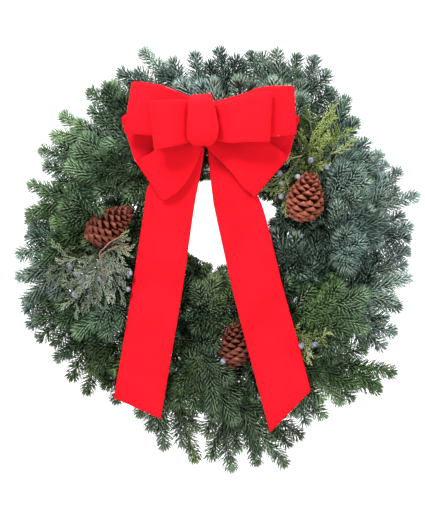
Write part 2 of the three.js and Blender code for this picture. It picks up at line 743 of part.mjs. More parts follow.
function addConeWire(cone) {
  const foot = new THREE.Vector3(...cone.foot);
  const axis = new THREE.Vector3(...cone.tip).sub(foot).normalize();
  const start = foot.clone().addScaledVector(axis, -FIT_GAP);
  const below = foot.clone().addScaledVector(axis, -CONE_WIRE_STRAIGHT);
  const end = polar(cone.bearing, RING_OUTER, 2 * WIRE_RADIUS + FIT_GAP);
  const route = [start, below, below.clone().lerp(end, 0.5), end];
  const path = new THREE.CatmullRomCurve3(route);
  addCapsuleChain(cone.name + "_wire", path.getPoints(CONE_WIRE_STEPS), TIE_KEEP_OUT);
  addNode(cone.name + "_wire", wireSolid(path, CONE_WIRE_STEPS), MATERIALS.tieWire);
}

// The ring: two wires with flat backs, and a clamp across them at each bundle of stems
function ringWire(reach) {
  const flat = WIRE_RADIUS * 0.8;
  const profile = [
    [-flat, 0], [flat, 0], [WIRE_RADIUS, WIRE_RADIUS], [0, 2 * WIRE_RADIUS], [-WIRE_RADIUS, WIRE_RADIUS],
  ].map(([across, depth]) => new THREE.Vector2(reach + across, depth));
  profile.push(profile[0].clone());
  const geometry = new THREE.LatheGeometry(profile, RING_STEPS);
  geometry.rotateX(Math.PI);
  return solidOf(geometry);
}

function clampSolid(bearing) {
  const inner = RING_INNER - 1;
  const outer = RING_OUTER + 1;
  const base = WIRE_RADIUS;
  const seat = CLAMP_SEAT;
  const top = CLAMP_TOP;
  const under = CLAMP_TOP - CLAMP_BAR;
  const outline = [
    [inner, base], [outer, base], [outer, top], [outer - PRONG_REACH, top],
    [outer - PRONG_REACH, under], [outer - CLAMP_BAR, under], [outer - CLAMP_BAR, seat],
    [inner + CLAMP_BAR, seat], [inner + CLAMP_BAR, under],
    [inner + PRONG_REACH, under], [inner + PRONG_REACH, top], [inner, top],
  ];
  const shape = new THREE.Shape(outline.map(([across, depth]) => new THREE.Vector2(across, depth)));
  const geometry = new THREE.ExtrudeGeometry(shape, { depth: CLAMP_LENGTH, bevelEnabled: false, steps: 1 });
  geometry.translate(0, 0, -CLAMP_LENGTH / 2);
  const place = new THREE.Matrix4().makeRotationY(THREE.MathUtils.degToRad(-bearing));
  place.multiply(new THREE.Matrix4().makeScale(1, -1, 1));
  geometry.applyMatrix4(place);
  return solidOf(geometry);
}

function addRing() {
  const parts = [ringWire(RING_OUTER), ringWire(RING_INNER)];
  for (let clamp = 0; clamp < CLAMP_COUNT; clamp++) {
    const bearing = clampBearing(clamp);
    parts.push(clampSolid(bearing));
    for (const [reach, prong] of [[RING_INNER, PRONG_REACH], [RING_OUTER, -PRONG_REACH]]) {
      const foot = polar(bearing, reach, WIRE_RADIUS);
      const shoulder = polar(bearing, reach, CLAMP_TOP);
      const end = polar(bearing, reach + prong, CLAMP_TOP);
      addCapsuleChain("ring_frame", [foot, shoulder, end], CLAMP_KEEP_OUT);
    }
  }
  for (const reach of [RING_INNER, RING_OUTER]) {
    const chords = Array.from({ length: WIRE_CHORDS + 1 }, (_, i) => (i * 360) / WIRE_CHORDS);
    addCapsuleChain("ring_frame", chords.map((bearing) => polar(bearing, reach, WIRE_RADIUS)), WIRE_RADIUS);
  }
  addNode("ring_frame", wasm.Manifold.union(parts), MATERIALS.ringWire);
}

// A ribbon through its stations: at each a middle, the way across it and its width
function ribbonSolid(stations, isClosed) {
  const points = [];
  const faces = [];
  const count = stations.length;
  stations.forEach((station, k) => {
    const before = stations[isClosed ? (k + count - 1) % count : Math.max(k - 1, 0)].middle;
    const after = stations[isClosed ? (k + 1) % count : Math.min(k + 1, count - 1)].middle;
    const along = after.clone().sub(before).normalize();
    const across = station.across.clone().addScaledVector(along, -station.across.dot(along)).normalize();
    const out = new THREE.Vector3().crossVectors(along, across).multiplyScalar(RIBBON_THICKNESS / 2);
    const skew = station.skew ?? 0;
    for (const [side, face] of [[-1, -1], [1, -1], [1, 1], [-1, 1]]) {
      points.push(
        station.middle
          .clone()
          .addScaledVector(across, (side * station.width) / 2)
          .addScaledVector(along, side * skew)
          .addScaledVector(out, face),
      );
    }
  });
  const spans = isClosed ? count : count - 1;
  for (let k = 0; k < spans; k++) {
    const next = (k + 1) % count;
    for (let i = 0; i < 4; i++) {
      const j = (i + 1) % 4;
      const [a, b, c, d] = [4 * k + i, 4 * k + j, 4 * next + j, 4 * next + i];
      faces.push(a, b, c, a, c, d);
    }
  }
  if (!isClosed) {
    const last = 4 * (count - 1);
    faces.push(0, 2, 1, 0, 3, 2, last, last + 1, last + 2, last, last + 2, last + 3);
  }
  return solidOf(facesGeometry(points, faces));
}

// One side of a pair of loops, from the front of the pinch round the fold to its back
const LOOP_STEPS = 12;
const PINCH_GAP = 1;
const OPENING_START = 0.15;
const OPENING_SPAN = 0.45;
const DEPTH_RATE = 2.4;
const TURN_RATE = 3;

function loopStations(side, pair) {
  const direction = new THREE.Vector3(side.end[0] - KNOT.x, 0, side.end[1] - KNOT.z);
  const length = direction.length();
  direction.normalize();
  const across = new THREE.Vector3(-direction.z, 0, direction.x);
  if (across.z < 0) across.negate();
  const list = [];
  for (let i = 0; i <= LOOP_STEPS; i++) {
    const turn = (2 * Math.PI * i) / LOOP_STEPS;
    const t = (1 - Math.cos(turn)) / 2;
    const open = smooth((t - OPENING_START) / OPENING_SPAN);
    const swell = Math.sign(Math.sin(turn)) * Math.sqrt(Math.abs(Math.sin(turn))) * open;
    const middleDepth = THREE.MathUtils.lerp(pair.pinchDepth, pair.depth, smooth(t * DEPTH_RATE));
    const depth = middleDepth + PINCH_GAP * Math.cos(turn / 2) + pair.swell * swell;
    const middle = new THREE.Vector3(KNOT.x, -depth, KNOT.z).addScaledVector(direction, length * t);
    list.push({
      middle,
      across: UPRIGHT.clone().lerp(across, smooth(t * TURN_RATE)).normalize(),
      width: THREE.MathUtils.lerp(pair.pinchWidth, RIBBON_WIDTH, open),
    });
  }
  return list;
}

// The pair is one closed band, pinched in the middle
const LOOP_PAIRS = [
  {
    name: "bow_loops_back", left: { end: [-124, 189] }, right: { end: [106, 186] },
    pinchDepth: 101.5, depth: 111, swell: 8, pinchWidth: 54,
  },
  {
    name: "bow_loops_front", left: { end: [-92, 169] }, right: { end: [76, 178] },
    pinchDepth: 105.5, depth: 131, swell: 9, pinchWidth: 52,
  },
  {
    name: "bow_loops_low", left: { end: [-91, 90] }, right: { end: [77, 94] },
    pinchDepth: 94.2, depth: 93.8, swell: 4.5, pinchWidth: 26,
  },
];

function addLoops() {
  for (const pair of LOOP_PAIRS) {
    const left = loopStations(pair.left, pair);
    const right = loopStations(pair.right, pair).reverse();
    const band = [...left, ...right.slice(1, -1)];
    addNode(pair.name, ribbonSolid(band, true), MATERIALS.velvet);
  }
}

// The tails: one ribbon folded over behind the knot, as rows of across, up, width and depth
const TAILS = {
  left: [
    [-27, 152, 26, 89.5], [-44, 118, 50, 85], [-62, 76, 67, 84.5], [-67, 45, 69, 85],
    [-84, -62, 70, 86], [-111, -226, 70, 87],
  ],
  right: [
    [-5, 152, 26, 89.5], [8, 112, 46, 85], [24, 69, 61, 84.5], [31, 41, 65, 85],
    [55, -62, 70, 86], [82, -163, 70, 86.5], [100, -230, 70, 87],
  ],
};
const TAIL_TOP = new THREE.Vector3(-15, -91.8, 166);
const LEFT_CUT = 7;
const RIGHT_CUT = 20;

// Stations down one tail, whose last one is cut so that the outer edge ends higher
function tailStations(rows, outerSign, cut) {
  return rows.map(([x, z, width, depth], i) => {
    const [before, after] = [rows[Math.max(i - 1, 0)], rows[Math.min(i + 1, rows.length - 1)]];
    const across = new THREE.Vector3(before[1] - after[1], 0, after[0] - before[0]).normalize();
    if (across.x * outerSign < 0) across.negate();
    const skew = i === rows.length - 1 ? -outerSign * cut : 0;
    return { middle: new THREE.Vector3(x, -depth, z), across, width, skew };
  });
}

function addTails() {
  const left = tailStations(TAILS.left, -1, LEFT_CUT).reverse();
  const right = tailStations(TAILS.right, 1, RIGHT_CUT);
  const top = { middle: TAIL_TOP, across: UPRIGHT, width: 20 };
  addNode("bow_tails", ribbonSolid([...left, top, ...right], false), MATERIALS.velvet);
}

// The centre band: a closed band round the pinch of the upper loops, wider at its foot
const KNOT_BACK = 97;
const KNOT_HALF_HEIGHT = 36;
const KNOT_MIDDLE = 106;
const KNOT_FRONT = 141;
const KNOT_STEPS = 12;
const KNOT_SQUARE = 0.42;
const KNOT_FLAT = 0.7;
const KNOT_LEAN = 2;
const KNOT_FOOT_WIDTH = 41;
const KNOT_TOP_WIDTH = 26;
const KNOT_FLARE = 0.4;

function addKnot() {
  const stations = [];
  for (let i = 0; i < KNOT_STEPS; i++) {
    const turn = (2 * Math.PI * i) / KNOT_STEPS;
    const up = Math.sign(Math.cos(turn)) * Math.pow(Math.abs(Math.cos(turn)), KNOT_SQUARE);
    const out = Math.sign(Math.sin(turn)) * Math.pow(Math.abs(Math.sin(turn)), KNOT_FLAT);
    const depth = THREE.MathUtils.lerp(KNOT_MIDDLE, out > 0 ? KNOT_FRONT : KNOT_BACK, Math.abs(out));
    stations.push({
      middle: new THREE.Vector3(KNOT.x + KNOT_LEAN * up, -depth, KNOT.z + KNOT_HALF_HEIGHT * up),
      across: new THREE.Vector3(1, 0, 0),
      width: THREE.MathUtils.lerp(KNOT_FOOT_WIDTH, KNOT_TOP_WIDTH, smooth((up + KNOT_FLARE) / (1 + KNOT_FLARE))),
    });
  }
  addNode("bow_knot", ribbonSolid(stations, true), MATERIALS.velvet);
}

// The tie wire runs through the band behind the upper loops, over the tails and back to the ring
const TIE_BEARINGS = [83.5, 80.5];
const TIE_SEAT = 2 * WIRE_RADIUS + FIT_GAP + TIE_RADIUS / 2;
const TIE_ROUTE = [
  [-14, 50, 156], [-33, 87, 178], [-41, 92.5, 190], [-44, 98.9, 188],
  [-21, 98.9, 187],
  [2, 98.9, 188], [-1, 92.5, 190], [-9, 87, 178], [2, 50, 156],
];
const TIE_STEPS = 22;

function addTieWire() {
  const ends = TIE_BEARINGS.map((bearing) => polar(bearing, RING_OUTER - WIRE_RADIUS / 2, TIE_SEAT));
  const route = TIE_ROUTE.map(([x, depth, z]) => new THREE.Vector3(x, -depth, z));
  const points = [ends[0], ...route, ends[1]];
  addCapsuleChain("bow_tie_wire", points, TIE_KEEP_OUT);
  addNode("bow_tie_wire", wireSolid(new THREE.CatmullRomCurve3(points), TIE_STEPS), MATERIALS.tieWire);
}

function addCones() {
  for (const cone of CONES) {
    const foot = new THREE.Vector3(...cone.foot);
    const tip = new THREE.Vector3(...cone.tip);
    const inset = tip.clone().sub(foot).normalize().multiplyScalar(cone.radius * CONE_ROUNDING);
    addCapsule(cone.name, foot.clone().add(inset), tip.clone().sub(inset), cone.radius);
    addNode(cone.name, coneSolid(cone), MATERIALS.cone);
    addConeWire(cone);
  }
}

function addSprays() {
  const numbered = (kind, list, slot, style) =>
    list.map((spray, i) => {
      const name = spray.name ?? `${kind}_${String(i + 1).padStart(2, "0")}`;
      return [name, { slot, ...spray }, style];
    });
  const all = [
    ...numbered("fir_outer", OUTER_SPRAYS, 3, FIR),
    ...numbered("juniper", JUNIPER_SPRAYS, 2, JUNIPER),
    ...numbered("fir_face", FACE_SPRAYS, 1, FACE_FIR),
    ...numbered("fir_inner", INNER_SPRAYS, 0, INNER_FIR),
  ];
  const laid = all.map(([name, spray, style]) => laySpray(name, spray, style));
  const random = seeded(NEEDLE_SEED);
  laid.forEach((spray) => finishSpray(spray, random));
}

addRing();
addLoops();
addTails();
addKnot();
addTieWire();
addCones();
addSprays();
wreath.position.set(0, 0, -(RING_OUTER - WIRE_RADIUS));

export default wreath;
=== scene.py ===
import math
from dataclasses import dataclass

import bpy
import numpy as np
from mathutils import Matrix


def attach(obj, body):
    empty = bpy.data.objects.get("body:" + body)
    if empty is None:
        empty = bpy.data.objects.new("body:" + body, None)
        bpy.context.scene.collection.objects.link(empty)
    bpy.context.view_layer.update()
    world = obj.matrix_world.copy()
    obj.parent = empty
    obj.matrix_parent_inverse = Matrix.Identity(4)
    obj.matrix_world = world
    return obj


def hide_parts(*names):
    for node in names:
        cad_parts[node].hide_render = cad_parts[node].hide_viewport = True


# A fresh evergreen wreath with cones and a velvet bow.
# Shapes are worked out in millimetres about the ring's centre: x to the right, depth
# towards the viewer and z up. in_frame() turns them into metres in the row frame.
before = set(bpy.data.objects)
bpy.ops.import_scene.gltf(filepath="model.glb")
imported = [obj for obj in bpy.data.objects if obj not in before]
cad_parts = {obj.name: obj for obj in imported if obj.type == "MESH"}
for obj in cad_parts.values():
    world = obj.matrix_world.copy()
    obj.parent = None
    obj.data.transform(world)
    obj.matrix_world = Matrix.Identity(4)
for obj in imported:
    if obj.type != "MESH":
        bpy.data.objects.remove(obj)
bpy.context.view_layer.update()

MM = 0.001
RING_MIDDLE = 140
RING_CENTRE_Z = -150
GOLDEN_ANGLE = math.pi * (3 - math.sqrt(5))
FRONT = np.array([0.0, -1.0, 0.0])


# Small helpers for points and directions
def unit(vectors):
    vectors = np.asarray(vectors, float)
    length = np.linalg.norm(vectors, axis=-1, keepdims=True)
    return vectors / np.maximum(length, 1e-9)


def mix(low, high, share):
    return low + (high - low) * share


def smooth(value):
    share = np.clip(value, 0, 1)
    return share * share * (3 - 2 * share)


def spot(across, up, depth):
    return np.array([across, -depth, up], float)


def polar(bearing, reach, depth):
    angle = math.radians(bearing)
    return spot(reach * math.cos(angle), reach * math.sin(angle), depth)


def in_frame(points):
    moved = np.asarray(points, float) * MM
    moved[..., 2] += RING_CENTRE_Z * MM
    return moved


def bezier(points, steps):
    share = np.linspace(0, 1, steps + 1)[:, None]
    level = [np.asarray(p, float)[None, :] for p in points]
    while len(level) > 1:
        level = [mix(a, b, share) for a, b in zip(level, level[1:])]
    return level[0]


def catmull(rows, steps):
    """A smooth run through the rows, with each given row kept."""
    rows = np.asarray(rows, float)
    padded = np.concatenate([[2 * rows[0] - rows[1]], rows, [2 * rows[-1] - rows[-2]]])
    made = []
    for i in range(len(rows) - 1):
        a, b, c, d = padded[i:i + 4]
        for t in np.arange(steps) / steps:
            made.append(0.5 * (2 * b + (c - a) * t + (2 * a - 5 * b + 4 * c - d) * t ** 2
                               + (3 * b - a - 3 * c + d) * t ** 3))
    made.append(rows[-1])
    return np.array(made)


# The share of a path's length over which its direction is read
WAY_SHARE = 0.01


class Path:
    """A polyline that is read by the distance along it."""

    def __init__(self, points):
        self.points = np.asarray(points, float)
        steps = np.linalg.norm(np.diff(self.points, axis=0), axis=1)
        self.marks = np.concatenate([[0], np.cumsum(steps)])
        self.length = self.marks[-1]

    def place(self, distance):
        return np.stack([np.interp(distance, self.marks, self.points[:, k]) for k in range(3)], -1)

    def at(self, distance):
        """The place at a distance and the path's direction there, for one distance or many."""
        reach = WAY_SHARE * self.length
        way = self.place(np.minimum(distance + reach, self.length)) - self.place(distance - reach)
        return self.place(distance), unit(way)

    def gaps(self, place):
        return np.linalg.norm(self.points - place, axis=1)


def nearest_point(paths, place):
    points = np.concatenate([path.points for path in paths])
    return points[np.linalg.norm(points - place, axis=1).argmin()]


# Where foliage may be: behind the bow, out of the open middle, off the cones and the wall
OPENINGS = [((3, 34), (64, 57)), ((64, 48), (15, 10))]
WALL_GAP = 1.5
BOW_CLEAR_DEPTH = 79
BOW_STRIPS = [
    ((-124, 189), (106, 186), 38),
    ((-21, 165), (-95, 88), 38),
    ((-21, 165), (78, 92), 38),
    ((-27, 150), (-64, 60), 38),
    ((-64, 60), (-111, -226), 38),
    ((-5, 150), (30, 45), 38),
    ((30, 45), (100, -230), 38),
    ((-124, 189), (-98, 100), 30),
    ((106, 186), (80, 100), 30),
]

# Each cone's name, foot, tip, radius and how pale it is; the left cone is painted darker, as painted shade
CONES = [
    ("cone_left", (-177, -70, 10), (-122, -84, 48), 26, 0.15),
    ("cone_right", (116, -72, 36), (129, -86, 98), 28, 0.6),
    ("cone_bottom", (25, -54, -168), (25, -62, -110), 26, 0.0),
]
CONE_KEEP_OUT = 0.86
CONE_FOOT_SHARE = -0.02
FOLIAGE_FRONT = 122

# Where juniper lies over the fir: middle across and up, half width and half height
JUNIPER_PATCHES = [
    ((134, 144), (32, 46)),
    ((88, 84), (24, 30)),
    ((-170, -44), (56, 44)),
    ((125, -146), (14, 18)),
]
FIR_UNDER_JUNIPER = 58


def from_line(points, start, end, with_ends):
    """How far along a line each point is, as a share, and its distance from there."""
    start, end = np.array(start, float), np.array(end, float)
    along = end - start
    share = (points - start) @ along / (along @ along)
    if with_ends:
        share = np.clip(share, 0, 1)
    return share, np.linalg.norm(points - start - share[:, None] * along, axis=1)


def in_strips(points):
    inside = np.zeros(len(points), bool)
    for start, end, half_width in BOW_STRIPS:
        inside |= from_line(points[:, [0, 2]], start, end, with_ends=True)[1] < half_width
    return inside


def in_cones(points):
    inside = np.zeros(len(points), bool)
    for _, foot, tip, radius, _ in CONES:
        share, near = from_line(points, foot, tip, with_ends=False)
        girth = radius * cone_girth(np.clip(share, 0, 1)) * CONE_KEEP_OUT
        inside |= (share > CONE_FOOT_SHARE) & (share < 1) & (near < girth)
    return inside


def in_ovals(points, ovals, margin=0):
    inside = np.zeros(len(points), bool)
    for (x, z), (half_width, half_height) in ovals:
        half_width, half_height = half_width + margin, half_height + margin
        inside |= ((points[:, 0] - x) / half_width) ** 2 + ((points[:, 2] - z) / half_height) ** 2 < 1
    return inside


def juniper_room(points):
    depth = -points[:, 1]
    clear = (depth > WALL_GAP) & (depth < FOLIAGE_FRONT) & ~in_ovals(points, OPENINGS)
    clear &= ~((depth > BOW_CLEAR_DEPTH) & in_strips(points))
    return clear & ~in_cones(points)


def fir_room(points):
    return juniper_room(points) & ~((-points[:, 1] > FIR_UNDER_JUNIPER) & in_ovals(points, JUNIPER_PATCHES))


def link_object(name, data):
    made = bpy.data.objects.new(name, data)
    bpy.context.scene.collection.objects.link(made)
    return made


def hand_over(made, node=None):
    """Every piece rides on the wreath's one body, and most take the place of a frame node."""
    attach(made, "root")
    if node:
        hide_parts(node)


# What stems, berries and plain ribbons have instead of a place along a needle
NO_ALONG = 0.5


class Soup:
    """Collects points and faces with their material and attributes, and makes one mesh of them."""

    def __init__(self):
        self.points, self.values, self.count = [], [], 0
        self.faces = {3: [], 4: []}
        self.slots = {3: [], 4: []}

    def add(self, points, faces, slot, tint, along=NO_ALONG):
        """faces maps 3 or 4 to corners; slot is one number, or one for each face."""
        points = points.reshape(-1, 3)
        for size, corners in faces.items():
            corners = np.asarray(corners).reshape(-1, size)
            self.faces[size].append(corners + self.count)
            self.slots[size].append(np.full(len(corners), slot, np.int32))
        self.points.append(points)
        self.values.append(np.stack([np.broadcast_to(value, len(points)) for value in (tint, along)]))
        self.count += len(points)

    def object(self, name, materials):
        sizes = [size for size in (3, 4) if self.faces[size]]
        corners = np.concatenate([np.concatenate(self.faces[size]).ravel() for size in sizes])
        totals = np.concatenate([np.full(sum(map(len, self.faces[size])), size) for size in sizes])
        slots = np.concatenate([np.concatenate(self.slots[size]) for size in sizes])
        points = in_frame(np.concatenate(self.points))
        mesh = bpy.data.meshes.new(name)
        mesh.vertices.add(len(points))
        mesh.vertices.foreach_set("co", points.astype(np.float32).ravel())
        mesh.loops.add(len(corners))
        mesh.loops.foreach_set("vertex_index", corners.astype(np.int32))
        mesh.polygons.add(len(totals))
        mesh.polygons.foreach_set("loop_start", (np.cumsum(totals) - totals).astype(np.int32))
        mesh.update(calc_edges=True)
        mesh.polygons.foreach_set("material_index", slots)
        mesh.polygons.foreach_set("use_smooth", np.ones(len(totals), bool))
        for key, value in zip(("tint", "along"), np.concatenate(self.values, axis=1)):
            mesh.attributes.new(key, "FLOAT", "POINT").data.foreach_set("value", value.astype(np.float32))
        for material in materials:
            mesh.materials.append(material)
        return link_object(name, mesh)


# Needles are closed and three-sided, and many are made at once. Bent ones swell up to their
# bend; spikes are straight and widest at the root.
SPINDLE_FACES = np.array([[1, 2, 4], [2, 3, 4], [3, 1, 4], [2, 1, 0], [3, 2, 0], [1, 3, 0]])
SPINDLE_ALONG = [0, 0.6, 0.6, 0.6, 1.0]
SPIKE_FACES = np.array([[0, 1, 3], [1, 2, 3], [2, 0, 3], [0, 2, 1]])
SPIKE_ALONG = [0, 0, 0, 1.0]
BEND_AT = 0.6
RIDGE_SHARE = 0.55
SHORTER_NEEDLE = 0.7

# The materials of a spray, in this order
LEAF_SLOT, BARK_SLOT, BERRY_SLOT = 0, 1, 2


class Needles:
    """Roots, ways and sizes of many needles, one row for each."""

    def __init__(self, roots, start_way, end_way, length, width, up, tint):
        self.parts = [roots, start_way, end_way, length, width, up, tint]

    def only(self, chosen):
        return Needles(*(values[chosen] for values in self.parts))

    def places(self):
        roots, start_way, end_way, length, *_ = self.parts
        middle = roots + start_way * (BEND_AT * length)[:, None]
        return middle, middle + end_way * ((1 - BEND_AT) * length)[:, None]

    def points(self, bent):
        roots, start_way, _, _, width, up, _ = self.parts
        across = unit(np.cross(start_way, up))
        ridge = unit(np.cross(across, start_way))
        corners = np.stack([0.5 * across, -0.5 * across, RIDGE_SHARE * ridge], 1) * width[:, None, None]
        middle, tip = self.places()
        if bent:
            return np.concatenate([roots[:, None], middle[:, None] + corners, tip[:, None]], 1)
        return np.concatenate([roots[:, None] + corners, tip[:, None]], 1)

    def shorten(self):
        self.parts[3] = self.parts[3] * SHORTER_NEEDLE

    def grow(self, soup, room, bent=True):
        """Adds the needles that have room, then those of the rest that have it when shorter."""
        faces, along = (SPINDLE_FACES, SPINDLE_ALONG) if bent else (SPIKE_FACES, SPIKE_ALONG)
        left = self
        for _ in range(2):
            middle, tip = left.places()
            clear = room(tip) & room(middle)
            count = int(clear.sum())
            if count:
                grown = left.only(clear)
                corners = faces + (len(along) * np.arange(count))[:, None, None]
                tint = np.repeat(grown.parts[-1], len(along))
                soup.add(grown.points(bent), {3: corners}, LEAF_SLOT, tint, np.tile(along, count))
            left = left.only(~clear)
            left.shorten()


def across_frame(way):
    """Two directions across a path: one to the front and one along the face."""
    front = unit(FRONT - way * (way @ FRONT)[..., None])
    return front, np.cross(way, front)


def around(path, distance, turn):
    """Places along a path, its ways there and the directions that turn round it."""
    place, way = path.at(distance)
    front, side = across_frame(way)
    return place, way, np.cos(turn)[:, None] * front + np.sin(turn)[:, None] * side


def leaning(way, radial, lean):
    return np.cos(lean)[:, None] * way + np.sin(lean)[:, None] * radial


def ring_quads(rings, sides):
    """The quads between rings of points that follow each other."""
    low = np.arange((rings - 1) * sides).reshape(-1, sides)
    after = np.roll(low, -1, 1)
    return np.stack([low, after, after + sides, low + sides], -1).reshape(-1, 4)


def add_tube(soup, path, start_radius, end_radius, tint, slot=0, sides=5, spacing=9):
    """A closed tapered stem along a path, with its tip drawn to a point."""
    count = max(3, int(path.length / spacing))
    distance = np.linspace(0, path.length, count)
    place, way = path.at(distance)
    front, side = across_frame(way)
    turn = (2 * np.pi * np.arange(sides) / sides)[None, :, None]
    radius = mix(start_radius, end_radius, np.sqrt(distance / path.length))
    ring = np.cos(turn) * front[:, None] + np.sin(turn) * side[:, None]
    points = (place[:, None] + ring * radius[:, None, None]).reshape(-1, 3)
    points = np.concatenate([points, [place[-1] + way[-1] * end_radius * 2]])
    first = np.arange(sides)
    last = (count - 1) * sides
    tip = np.stack([last + first, last + np.roll(first, -1), np.full(sides, count * sides)], 1)
    fan = np.stack([np.zeros(sides - 2, int), first[2:], first[1:-1]], 1)
    soup.add(points, {4: ring_quads(count, sides), 3: np.concatenate([tip, fan])}, slot, tint)


# Sprays: a leader from its clamp and side shoots from it, as in the frame
CLAMP_ANGLE = 30
MIDDLE_SLOT = 1.5
SLOT_PITCH = 4.9
BUTT_DEPTH = 7.05
HELD_HALF_ANGLE = 4.5
FREE_LENGTH = 6
BEND_SHARE = 0.35
BEND_DEPTH_SHARE = 0.3
SIDE_BEND, SIDE_SWING = 0.45, 0.22
CURVE_STEPS = 24
TWIG_STEPS = 8


def leader_path(clamp, tip, style):
    bearing = clamp * CLAMP_ANGLE
    reach = RING_MIDDLE + (style.slot - MIDDLE_SLOT) * SLOT_PITCH
    reach = reach / math.cos(math.radians(HELD_HALF_ANGLE))
    butt = polar(bearing - HELD_HALF_ANGLE, reach, BUTT_DEPTH)
    held = polar(bearing + HELD_HALF_ANGLE, reach, BUTT_DEPTH)
    along = unit(held - butt)
    free = held + along * FREE_LENGTH
    span = np.linalg.norm(free - tip)
    bend = free + along * span * BEND_SHARE + FRONT * style.lift
    outward = unit(np.array([tip[0], 0, tip[2]]))
    sign = math.copysign(1, math.hypot(tip[0], tip[2]) - RING_MIDDLE)
    near = tip - outward * sign * span * BEND_SHARE
    near[1] = mix(tip[1], bend[1], BEND_DEPTH_SHARE)
    return Path(np.concatenate([[butt], bezier([free, bend, near, tip], CURVE_STEPS)]))


def side_path(leader, share, tip):
    root, way = leader.at(share * leader.length)
    span = tip - root
    aside = span - way * (span @ way)
    return Path(bezier([root, root + SIDE_BEND * span + SIDE_SWING * aside, tip], CURVE_STEPS))


def frame_points(node, faces):
    """The frame node's points in millimetres that carry so many faces."""
    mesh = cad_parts[node].data
    place = np.empty(3 * len(mesh.vertices), np.float32)
    mesh.vertices.foreach_get("co", place)
    place = place.reshape(-1, 3) / MM - [0, 0, RING_CENTRE_Z]
    mesh.calc_loop_triangles()
    corners = np.empty(3 * len(mesh.loop_triangles), np.int32)
    mesh.loop_triangles.foreach_get("vertices", corners)
    spots, index = np.unique(np.round(place, 1), axis=0, return_inverse=True)
    number = np.bincount(index.reshape(-1)[corners], minlength=len(spots))
    return spots[number == faces]


# A bud is a point of the frame that so many faces share, and no tip moves further than this
BUD_FACES = 3
MOST_MOVED = 40


def settled(buds, wanted):
    """The frame's own tip of a shoot, which may lie a little off the wanted one."""
    gaps = np.linalg.norm(buds - wanted, axis=1)
    return buds[gaps.argmin()] if gaps.min() < MOST_MOVED else wanted


class Style:
    """How one kind of foliage grows."""

    def __init__(self, **values):
        self.__dict__.update(values)

    def but(self, **changes):
        return Style(**{**self.__dict__, **changes})


# slot is the place in the clamp, lift how far the leader bows to the front, shares where the
# side shoots leave it, and bare the stretch without needles. All lengths are in millimetres.
FIR = Style(
    slot=3, lift=10, shares=(0.52, 0.42, 0.62), leader_bare=22, side_bare=6, room=fir_room,
    needle=19.5, width=1.7, curl=0.22, needle_gap=0.37, under_gap=0.8,
    stem=2.2, side_stem=1.3, tip_stem=0.6,
    laterals=3, lateral_span=(0.18, 0.62), lateral_length=(62, 42), lateral_angle=0.8,
)
OUTER_FIR = FIR.but(needle_gap=0.355)
FACE_FIR = FIR.but(slot=1, lift=34, shares=(0.5, 0.42))
INNER_FIR = FIR.but(slot=0, lift=14, shares=(0.5,), laterals=2, lateral_length=(44, 30))
FILL_FIR = FIR.but(needle=17.5, needle_gap=0.68, under_gap=1.15, width=1.85)

BLUE, GREEN, DARK = "blue", "green", "dark"

# Each spray's clamp and colour, then the bearing, reach and depth of the tips of its leader and
# its side shoots
OUTER_SPRAYS = [
    (11, BLUE, [(14, 276, 34), (5, 262, 18), (21, 263, 48), (28, 253, 26)]),
    (0, BLUE, [(42, 250, 22), (34, 243, 42), (47, 255, 40), (52, 263, 14)]),
    (1, BLUE, [(67, 278, 26), (62, 284, 44), (72, 273, 50), (79, 266, 16)]),
    (2, BLUE, [(97, 259, 34), (89, 262, 48), (110, 284, 20), (118, 268, 46)]),
    (3, GREEN, [(140, 274, 30), (129, 269, 44), (145, 266, 52), (123, 262, 14)]),
    (4, GREEN, [(162, 266, 28), (151, 269, 42), (169, 258, 50), (175, 255, 16)]),
    (5, BLUE, [(189, 273, 31), (182, 268, 45), (195, 270, 52), (202, 279, 18)]),
    (6, DARK, [(215, 266, 26), (207, 271, 44), (221, 266, 48), (227, 269, 16)]),
    (7, DARK, [(245, 252, 28), (236, 250, 46), (254, 283, 38), (263, 295, 16)]),
    (8, DARK, [(280, 300, 30), (273, 303, 44), (286, 310, 50), (292, 285, 16)]),
    (9, GREEN, [(308, 270, 28), (301, 270, 46), (317, 296, 22), (323, 294, 46)]),
    (10, BLUE, [(341, 258, 30), (333, 264, 46), (349, 260, 52), (357, 258, 20)]),
]
FACE_SPRAYS = [
    (11, BLUE, [(8, 222, 82), (0, 190, 96), (18, 208, 76)]),
    (0, BLUE, [(33, 226, 74), (27, 212, 90), (50, 212, 66)]),
    (1, BLUE, [(60, 226, 72), (70, 232, 66), (55, 196, 76)]),
    (2, BLUE, [(92, 216, 66), (82, 222, 72), (102, 222, 64)]),
    (3, GREEN, [(126, 214, 78), (118, 222, 70), (135, 196, 88)]),
    (4, GREEN, [(152, 222, 80), (144, 196, 92), (146, 228, 70)]),
    (5, GREEN, [(176, 226, 68), (166, 212, 80), (183, 232, 62)]),
    (6, GREEN, [(212, 218, 80), (206, 232, 66), (217, 190, 92)]),
    (7, DARK, [(232, 214, 72), (225, 226, 70), (238, 196, 76)]),
    (8, DARK, [(268, 214, 84), (261, 222, 74), (274, 236, 70)]),
    (9, DARK, [(300, 214, 72), (292, 226, 72), (307, 222, 66)]),
    (10, GREEN, [(330, 222, 80), (321, 216, 78), (340, 206, 92)]),
]
